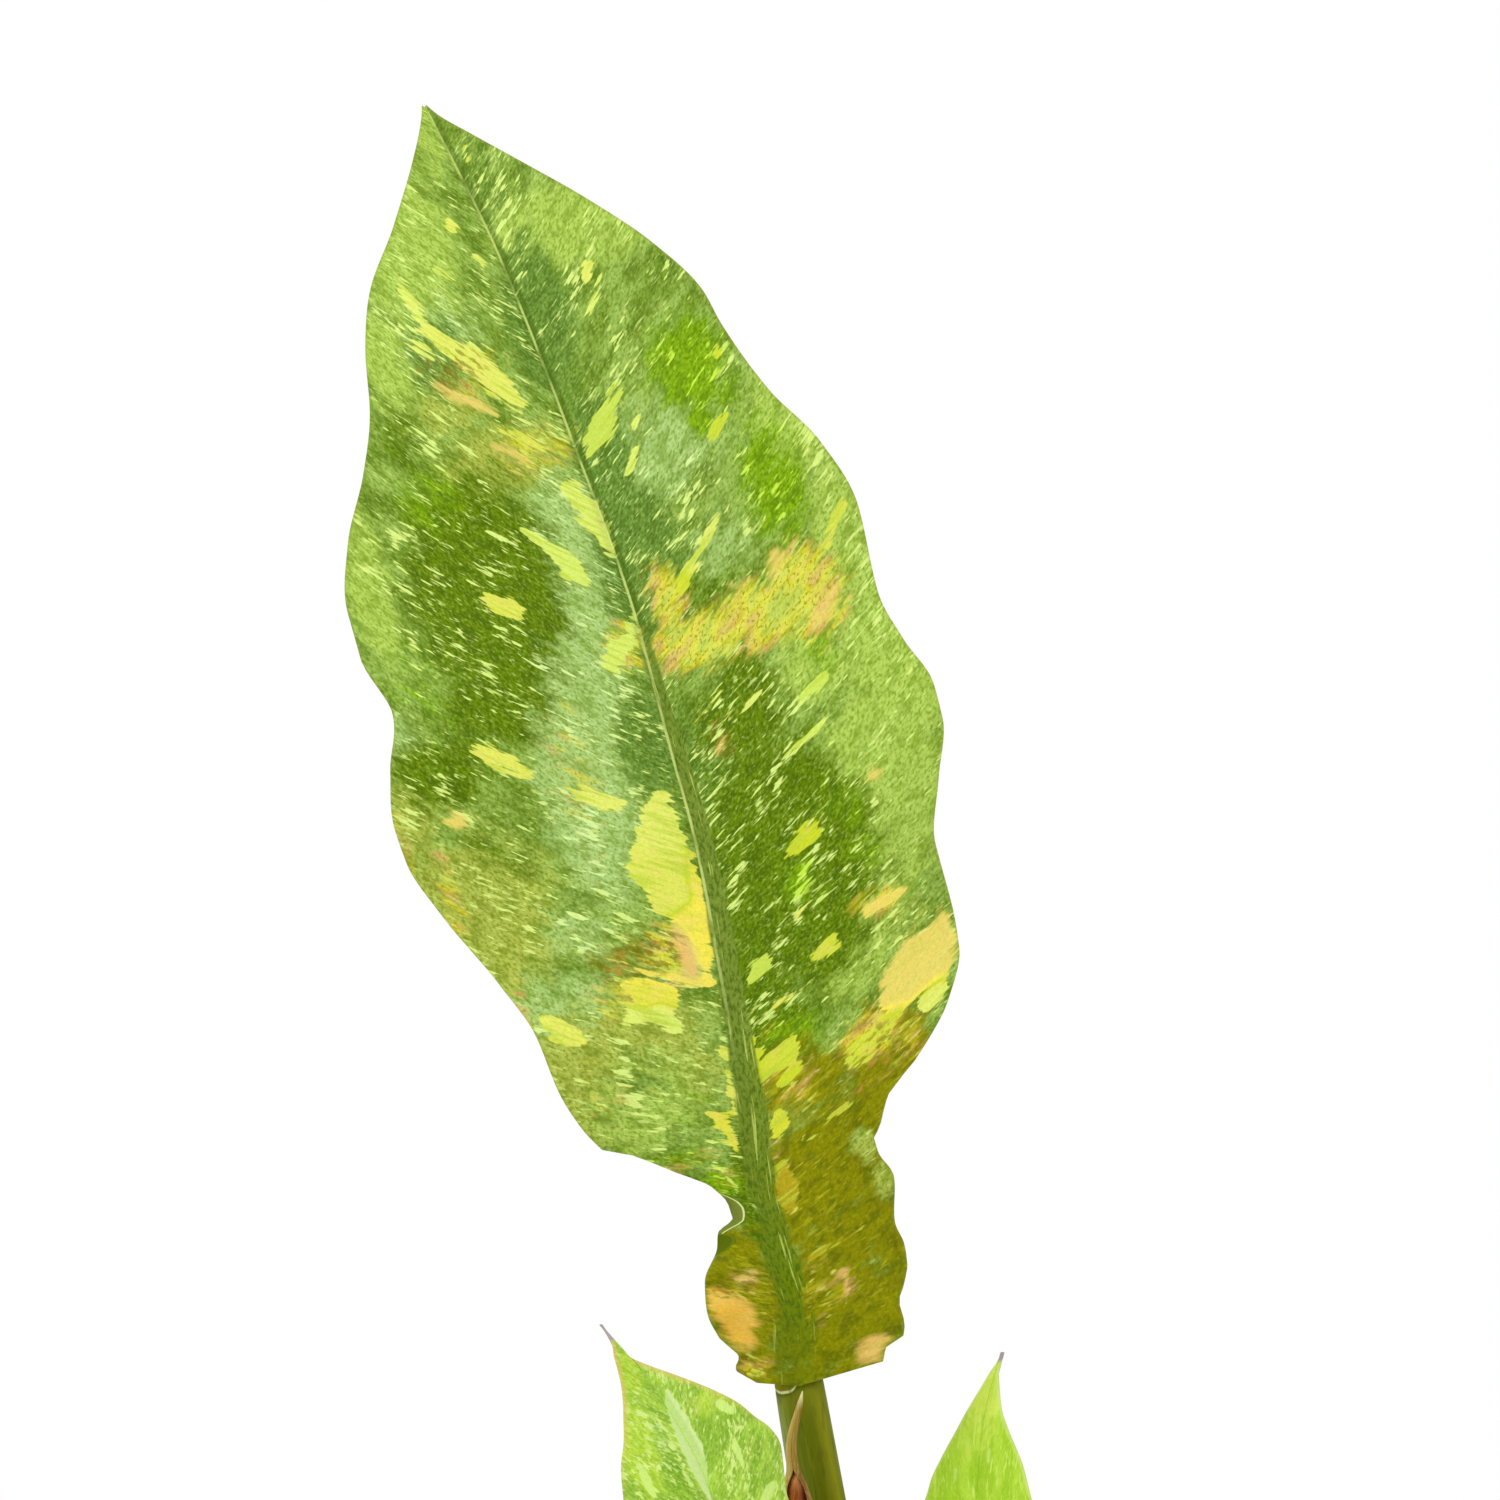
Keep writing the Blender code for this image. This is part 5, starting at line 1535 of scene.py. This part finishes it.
def lay_lip(tree, share, look, tint):
    """The blade's foot laps over the stalk's top: a pale lip on one side, painted shadow below it.
    """
    bow = maths(tree, "POWER", maths(tree, "MULTIPLY_ADD", share["X"], 2.2, 1.3), 4.0)
    bow = times(tree, maths(tree, "EXPONENT", times(tree, bow, -1.0)), -0.0058)
    over = maths(tree, "SUBTRACT", share["Z"], maths(tree, "ADD", bow, look["lip"]))
    # A painted shadow just below the lip, in the dark thread colour.
    under = times(tree, ramp(tree, over, -0.006, -0.0005),
                  ramp(tree, over, -0.0004, 0.0004, 1.0, 0.0), 0.55)
    tint = paint(tree, under, tint, look["dark"])
    tint = paint(tree, ramp(tree, over, -0.0006, 0.0004), tint, look["lap"])
    line = times(tree, ramp(tree, maths(tree, "ABSOLUTE", over), 0.0007, 0.0015, 1.0, 0.0),
                 ramp(tree, share["X"], -0.30, 0.05, 1.0, 0.12))
    return paint(tree, line, tint, look["lip_edge"])


def tube_skin(name, look):
    """look holds colours from the left side to the right, a foot, a top and a thread colour."""
    skin, tree, shader = new_skin(name)
    share = split(tree, stored(tree, "tube_share"))
    place = stored(tree, "tube_place")
    wander = use(tree, tube_threads, Place=place, Across=0.5, Along=0.05, Seed=2.0)["Raw"]
    across = maths(tree, "MULTIPLY_ADD", share["X"], 0.5, 0.46)
    across = maths(tree, "ADD", across, times(tree, wander, 0.08))
    tint = paint(tree, ramp(tree, share["Y"], -0.35, 0.25, 1.0, 0.0),
                 colour_ramp(tree, across, look["bands"]), look["back"])
    low = ramp(tree, share["Z"], 0.0, look["foot_reach"], 1.0, 0.0)
    tint = paint(tree, low, tint, look["foot"])
    tint = paint(tree, ramp(tree, share["Z"], look["top_reach"], 1.0), tint, look["top"])
    if "lip" in look:
        tint = lay_lip(tree, share, look, tint)
    long = use(tree, tube_threads, Place=place, Across=look["fine"], Along=0.12, Level=0.56,
               Soft=0.08, Seed=9.0)
    tint = paint(tree, times(tree, long["Mask"], look["thread_strength"]), tint, look["thread"])
    dark = use(tree, tube_threads, Place=place, Across=look["fine"] * 0.8, Along=0.3, Level=0.6,
               Soft=0.06, Seed=19.0)
    tint = paint(tree, times(tree, dark["Mask"], look["dark_strength"]), tint, look["dark"])
    rough = ramp(tree, long["Raw"], 0.3, 0.7, look["rough"] - 0.05, look["rough"] + 0.08)
    finish_skin(tree, shader, tint, rough, long["Raw"], look["bump"], 0.0002, look["gloss"])
    return skin


print("tube effect:", tube_threads.name)

# %% The tubes' colours
TALL_STALK = palette(
    # From left to right: a grey-green painted highlight down the left side, the dark olive channel,
    # the lighter olive ridge, a greyer edge.
    {}, bands=shades((0.0, "#88964c"), (0.12, "#7d8a38"), (0.24, "#5f6c12"), (0.40, "#5c6600"),
                     (0.66, "#606800"), (0.76, "#74760a"), (0.88, "#8c8c10"), (0.95, "#7c8018"),
                     (1.0, "#848c48")),
    back="#66701a", foot="#7f9030", foot_reach=0.25, top="#7a7c0c", top_reach=0.95,
    thread="#7c8214", thread_strength=0.35, dark="#3e4600", dark_strength=0.3,
    fine=2.4, rough=0.5, bump=0.2, gloss=0.10,
)
LIPPED_STALK = palette(TALL_STALK, lip=0.9885, lap="#8c8606", lip_edge="#e0e8a4")
LOWER_STALK = palette(
    TALL_STALK,
    bands=shades((0.0, "#a8bc58"), (0.3, "#93ac34"), (0.7, "#93ac34"), (1.0, "#a8bc58")),
    back="#8ca42e", foot="#8ea040", top="#b0cc58", thread="#b8cc60", dark="#7c941e",
)
SHEATH = palette(
    TALL_STALK, bands=shades((0.0, "#b8a45c"), (0.16, "#a88c3c"), (0.45, "#967428"),
                             (0.62, "#866220"), (0.80, "#844c18"), (1.0, "#a08040")),
    back="#a5893f", foot="#8c8c3c", foot_reach=0.5, top="#e4dc9c", top_reach=0.975,
    thread="#d0b878", thread_strength=0.4, dark="#7e5426", dark_strength=0.4,
    fine=3.6, bump=0.4, gloss=0.12,
)
ROLL = palette(
    SHEATH, bands=shades((0.0, "#a0581c"), (0.4, "#8e4410"), (1.0, "#7c360a")),
    back="#8a5a24", foot="#94863c", foot_reach=0.55, top="#d08a50", top_reach=0.97,
    thread="#bc7434", dark="#702e08", rough=0.36, gloss=0.22,
)
STEM_LOOK = palette(
    TALL_STALK, bands=shades("#8c9440", "#7d8630", "#8c9440"), back="#7d8630", foot="#6a5a34",
    foot_reach=0.55, top="#98a048", top_reach=0.9, thread="#a09a5a", dark="#5a4c28",
    dark_strength=0.5, rough=0.55, bump=0.5, gloss=0.25,
)
for tube, look, node, slot in (
        (tall_stalk, LIPPED_STALK, "stalk_tall", "tall_stalk_skin"),
        (left_stalk, LOWER_STALK, "stalk_left", "lower_stalk_skin"),
        (right_stalk, LOWER_STALK, "stalk_right", "lower_stalk_skin"),
        (sheath, SHEATH, "sheath", "sheath_skin"),
        (new_leaf, ROLL, "new_leaf", "new_leaf_skin"),
        (stem, STEM_LOOK, "stem", "stem_skin")):
    tube.data.materials.append(tube_skin(tube.name + "_skin", look))
    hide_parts(node)
    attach(tube, "root")
print("six tubes dressed")

# %% [markdown]
# ## The pot
#
# The pot is a plain grower's pot of terracotta-coloured plastic: a thin tapered wall, a thick
# rim band that fingers grip, a flat foot and six drain slots. It is a turned shape, so its wall
# is drawn once as an outline and spun round the axis.

# %% Spin the pot
def spin_profile(name, profile, steps):
    """A closed solid turned about Z from an outline of (radius, height) points."""
    deselect()
    bpy.ops.mesh.primitive_plane_add(size=0.001)
    piece = bpy.context.object
    piece.name = piece.data.name = name
    bpy.ops.object.mode_set(mode="EDIT")
    bpy.ops.mesh.select_all(action="SELECT")
    bpy.ops.mesh.merge(type="CENTER")
    for _ in profile[1:]:
        bpy.ops.mesh.extrude_region_move(TRANSFORM_OT_translate={"value": (1, 0, 0)})
    bpy.ops.object.mode_set(mode="OBJECT")
    for vertex in piece.data.vertices:
        radius, height = profile[round(vertex.co.x)]
        vertex.co = (radius, 0.0, height)
    bpy.ops.object.mode_set(mode="EDIT")
    bpy.ops.mesh.select_all(action="SELECT")
    bpy.ops.mesh.spin(steps=steps, angle=math.tau, center=(0, 0, 0), axis=(0, 0, 1))
    bpy.ops.mesh.select_all(action="SELECT")
    bpy.ops.mesh.remove_doubles(threshold=0.00001)
    bpy.ops.mesh.normals_make_consistent(inside=False)
    bpy.ops.object.mode_set(mode="OBJECT")
    smooth_shade(piece, 35)
    print(name, "spun from", len(profile), "points into", len(piece.data.polygons), "faces")
    return piece


def rounded(corner_from, corner, corner_to, radius, steps=4):
    """Points of a small round at a corner of a profile."""
    a, b, c = (np.array(p, float) for p in (corner_from, corner, corner_to))
    start = b + (a - b) / np.linalg.norm(a - b) * radius
    stop = b + (c - b) / np.linalg.norm(c - b) * radius
    shares = np.linspace(0, 1, steps + 1)
    return [tuple(start * (1 - t) ** 2 + b * 2 * t * (1 - t) + stop * t * t) for t in shares]


def round_profile(corners):
    """A profile with every inner corner rounded by its own radius: (radius, height, round)."""
    made = [corners[0][:2]]
    for before, corner, after in zip(corners, corners[1:], corners[2:]):
        if corner[2] == 0:
            made.append(corner[:2])
        else:
            made += rounded(before[:2], corner[:2], after[:2], corner[2])
    return made + [corners[-1][:2]]


# %% The pot's wall, rim band, floor and drain slots
pot_low, pot_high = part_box("pot")
POT_HEIGHT = pot_high[2] - pot_low[2]
BAND_RADIUS = (pot_high[0] - pot_low[0]) / 2
BAND_HEIGHT = 0.016
BAND_PROUD = 0.0022  # how far the band stands out from the wall
POT_TOP_RADIUS = BAND_RADIUS - BAND_PROUD
POT_BASE_RADIUS = 0.039
POT_WALL = 0.0020
POT_FLOOR = 0.0024
SLOTS = 6
SLOT_OUT = 0.029  # from the axis to a slot's middle
SLOT_SIZE = (0.0036, 0.011, POT_FLOOR * 3)  # the cutter is taller than the floor is thick


def wall_radius(height):
    """The radius of the wall's outer face at a height."""
    return POT_BASE_RADIUS + (POT_TOP_RADIUS - POT_BASE_RADIUS) * height / POT_HEIGHT


def inner_radius(height, inset=0.0):
    """The radius of the wall's inner face at a height, or of a face set in from it."""
    return wall_radius(height) - POT_WALL - inset


band_low = POT_HEIGHT - BAND_HEIGHT
wall_at_band = wall_radius(band_low)
pot_outline = round_profile([
    (0.0, 0.0, 0), (0.010, 0.0, 0), (0.020, 0.0, 0), (0.034, 0.0, 0),
    (POT_BASE_RADIUS, 0.0, 0.0010),
    (wall_radius(0.02), 0.02, 0), (wall_radius(0.04), 0.04, 0), (wall_radius(0.06), 0.06, 0),
    (wall_at_band, band_low, 0.0006), (wall_at_band + BAND_PROUD, band_low, 0.0007),
    (BAND_RADIUS - 0.0002, POT_HEIGHT - 0.0034, 0.0004),
    (BAND_RADIUS, POT_HEIGHT - 0.0024, 0.0003), (BAND_RADIUS, POT_HEIGHT, 0.0009),
    (POT_TOP_RADIUS - POT_WALL, POT_HEIGHT, 0.0008), (inner_radius(0.06), 0.06, 0),
    (inner_radius(0.03), 0.03, 0), (inner_radius(POT_FLOOR), POT_FLOOR, 0.0010),
    (0.030, POT_FLOOR, 0), (0.016, POT_FLOOR, 0), (0.0, POT_FLOOR, 0),
])
pot = spin_profile("grower_pot", pot_outline, 144)

cutters = []
for n in range(SLOTS):
    turn = math.tau * (n + 0.5) / SLOTS
    where = (SLOT_OUT * math.cos(turn), SLOT_OUT * math.sin(turn), POT_FLOOR / 2)
    bpy.ops.mesh.primitive_cube_add(size=1.0, location=where, rotation=(0, 0, turn),
                                    scale=SLOT_SIZE)
    cutters.append(bpy.context.object)
cutter = join_pieces(cutters)
apply_modifier(pot, "drain_slots", "BOOLEAN", operation="DIFFERENCE", solver="EXACT", object=cutter)
bpy.data.objects.remove(cutter)
print("pot with drain slots:", len(pot.data.polygons), "faces")

# %% Terracotta-coloured plastic
def object_noise(tree, scale, detail, roughness):
    """Noise in the piece's own space, at this many waves a metre."""
    where = add(tree, "ShaderNodeTexCoord").outputs["Object"]
    return noise(tree, where, scale, detail, roughness)


plastic, tree, shader = new_skin("terracotta_plastic")
height = split(tree, add(tree, "ShaderNodeTexCoord").outputs["Object"])["Z"]
cloud = object_noise(tree, 28.0, 3.0, 0.6)
speck = object_noise(tree, 900.0, 2.0, 0.6)
tint = paint(tree, cloud, colour("#a9603e"), colour("#bb7350"))
tint = paint(tree, ramp(tree, speck, 0.58, 0.66, 0.0, 0.35), tint, colour("#8c4a2e"))
chalk = maths(tree, "ADD", times(tree, height, -30.0), object_noise(tree, 60.0, 4.0, 0.6))
tint = paint(tree, ramp(tree, chalk, 0.0, 0.5, 0.0, 0.35), tint, colour("#cfa58e"))
dusty = maths(tree, "ADD", object_noise(tree, 140.0, 4.0, 0.65), times(tree, height, 3.0))
tint = paint(tree, ramp(tree, dusty, 0.78, 0.95, 0.0, 0.45), tint, colour("#6d4634"))
rings = noise(tree, join(tree, 0.0, 0.0, times(tree, height, 900.0)), 1.0, 2.0, 0.6)
relief = maths(tree, "ADD", times(tree, rings, 0.6), times(tree, speck, 0.5))
finish_skin(tree, shader, tint, ramp(tree, cloud, 0.3, 0.7, 0.42, 0.58), relief, 0.25, 0.0002, 0.4)
pot.data.materials.append(plastic)
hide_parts("pot")
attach(pot, "root")
print("pot dressed in", plastic.name, "of", len(tree.nodes), "nodes")

# %% [markdown]
# ## The potting mix
#
# Potting mix is dark peat with bark chips and white perlite in it. The mass is turned like the
# pot, with its upper face then roughened; the chips and grains are small solids, each turned,
# stretched and dented a little, scattered over the top and half sunk in.

# %% Spin and roughen the soil
SOIL_TOP, SOIL_FOOT = 0.081, 0.0027  # heights above the ground
SOIL_INSET = 0.0006  # clear of the pot's wall
WELL, WELL_FLOOR = 0.0060, 0.0597  # radius and floor height of the well that the stem stands in
TOP_RINGS = 40  # so many rings of faces across the top carry its roughness
DOME, LUMPS, CRUMBS = 0.0013, 0.0012, 0.0005  # how far each of these lifts the top
soil_edge = inner_radius(SOIL_TOP, SOIL_INSET)
top_rings = [(soil_edge - (soil_edge - WELL) * n / TOP_RINGS, SOIL_TOP, 0)
             for n in range(TOP_RINGS + 1)]
soil_outline = round_profile(
    [(0.0, SOIL_FOOT, 0), (0.018, SOIL_FOOT, 0), (inner_radius(SOIL_FOOT, 0.0016), SOIL_FOOT, 0),
     (inner_radius(0.004, SOIL_INSET), 0.004, 0), (inner_radius(0.04, SOIL_INSET), 0.04, 0),
     (soil_edge, SOIL_TOP - 0.002, 0)] + top_rings
    + [(WELL, 0.07, 0), (WELL, WELL_FLOOR, 0), (0.003, WELL_FLOOR, 0), (0.0, WELL_FLOOR, 0)])
soil = spin_profile("potting_mix", soil_outline, 150)


def soil_height(x, y):
    """The soil's surface: a low dome with crumbs on it."""
    reach = min(math.hypot(x, y) / soil_edge, 1.0)
    place = Vector((x, y, 0.0))
    lumps = field_noise.fractal(place * 160, 1.0, 2.0, 4)
    crumbs = field_noise.noise(place * 620)
    return SOIL_TOP + DOME * (1 - reach ** 2) + LUMPS * lumps + CRUMBS * crumbs


for vertex in soil.data.vertices:
    if vertex.co.z > SOIL_TOP - 0.0005:
        vertex.co.z = soil_height(vertex.co.x, vertex.co.y)
soil.data.update()

# %% Bark chips and perlite
rng = np.random.default_rng(7)


def scatter(name, count, make, size_range, flatness, sink):
    """Copies of a small solid, each turned, stretched and set on the soil, joined as one piece."""
    pieces = []
    for _ in range(count):
        reach = math.sqrt(rng.uniform(0.03, 0.92)) * soil_edge
        turn = rng.uniform(0, math.tau)
        x, y = reach * math.cos(turn), reach * math.sin(turn)
        size = rng.uniform(*size_range)
        grain_piece = make()
        mesh = grain_piece.data
        stretch = (size, size * rng.uniform(0.5, 0.9), size * flatness * rng.uniform(0.7, 1.2))
        twist = Matrix.Rotation(rng.uniform(0, math.tau), 4, "Z")
        twist = twist @ Matrix.Rotation(rng.uniform(-0.5, 0.5), 4, "X")
        shift = Matrix.Translation((x, y, soil_height(x, y) + stretch[2] * sink))
        mesh.transform(shift @ twist @ Matrix.Diagonal((*stretch, 1.0)))
        for vertex in mesh.vertices:
            vertex.co += Vector(rng.uniform(-0.06, 0.06, 3)) * size
        pieces.append(grain_piece)
    whole = join_pieces(pieces)
    whole.name = whole.data.name = name
    smooth_shade(whole, 50)
    print(name, "has", count, "bits and", len(whole.data.polygons), "faces")
    return whole


def grain_ball():
    deselect()
    bpy.ops.mesh.primitive_ico_sphere_add(subdivisions=2, radius=0.5)
    return bpy.context.object


def bark_chip():
    deselect()
    bpy.ops.mesh.primitive_cube_add(size=1.0)
    bpy.ops.object.mode_set(mode="EDIT")
    bpy.ops.mesh.select_all(action="SELECT")
    bpy.ops.mesh.bevel(offset=0.12, segments=2)
    bpy.ops.object.mode_set(mode="OBJECT")
    return bpy.context.object


perlite = scatter("perlite", 70, grain_ball, (0.0014, 0.0034), 0.8, 0.20)
bark = scatter("bark_chips", 110, bark_chip, (0.0025, 0.0075), 0.28, 0.25)

# %% Peat, bark and perlite finishes
peat, tree, shader = new_skin("peat")
lumps = object_noise(tree, 420.0, 4.0, 0.65)
dots = object_noise(tree, 1500.0, 2.0, 0.6)
tint = paint(tree, lumps, colour("#1e140e"), colour("#4b3628"))
tint = paint(tree, ramp(tree, dots, 0.62, 0.7, 0.0, 0.6), tint, colour("#7a5f46"))
finish_skin(tree, shader, tint, 0.95, lumps, 0.8, 0.0006)
soil.data.materials.append(peat)
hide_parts("soil")
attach(soil, "root")

bark_finish, tree, shader = new_skin("bark")
fibre = object_noise(tree, 700.0, 3.0, 0.6)
which = object_noise(tree, 90.0, 1.0, 0.5)
tint = paint(tree, ramp(tree, which, 0.35, 0.65), colour("#3b2418"), colour("#7d5436"))
tint = paint(tree, ramp(tree, fibre, 0.5, 0.7, 0.0, 0.5), tint, colour("#26170f"))
finish_skin(tree, shader, tint, 0.85, fibre, 0.6, 0.0003)
bark.data.materials.append(bark_finish)

perlite_finish, tree, shader = new_skin("perlite_white")
pores = object_noise(tree, 1400.0, 3.0, 0.6)
tint = paint(tree, ramp(tree, pores, 0.4, 0.65), colour("#f1efe9"), colour("#c4bdb0"))
finish_skin(tree, shader, tint, 0.8, pores, 0.5, 0.0003)
perlite.data.materials.append(perlite_finish)
for bits in (perlite, bark):
    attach(bits, "root")
print("soil, bark and perlite dressed")
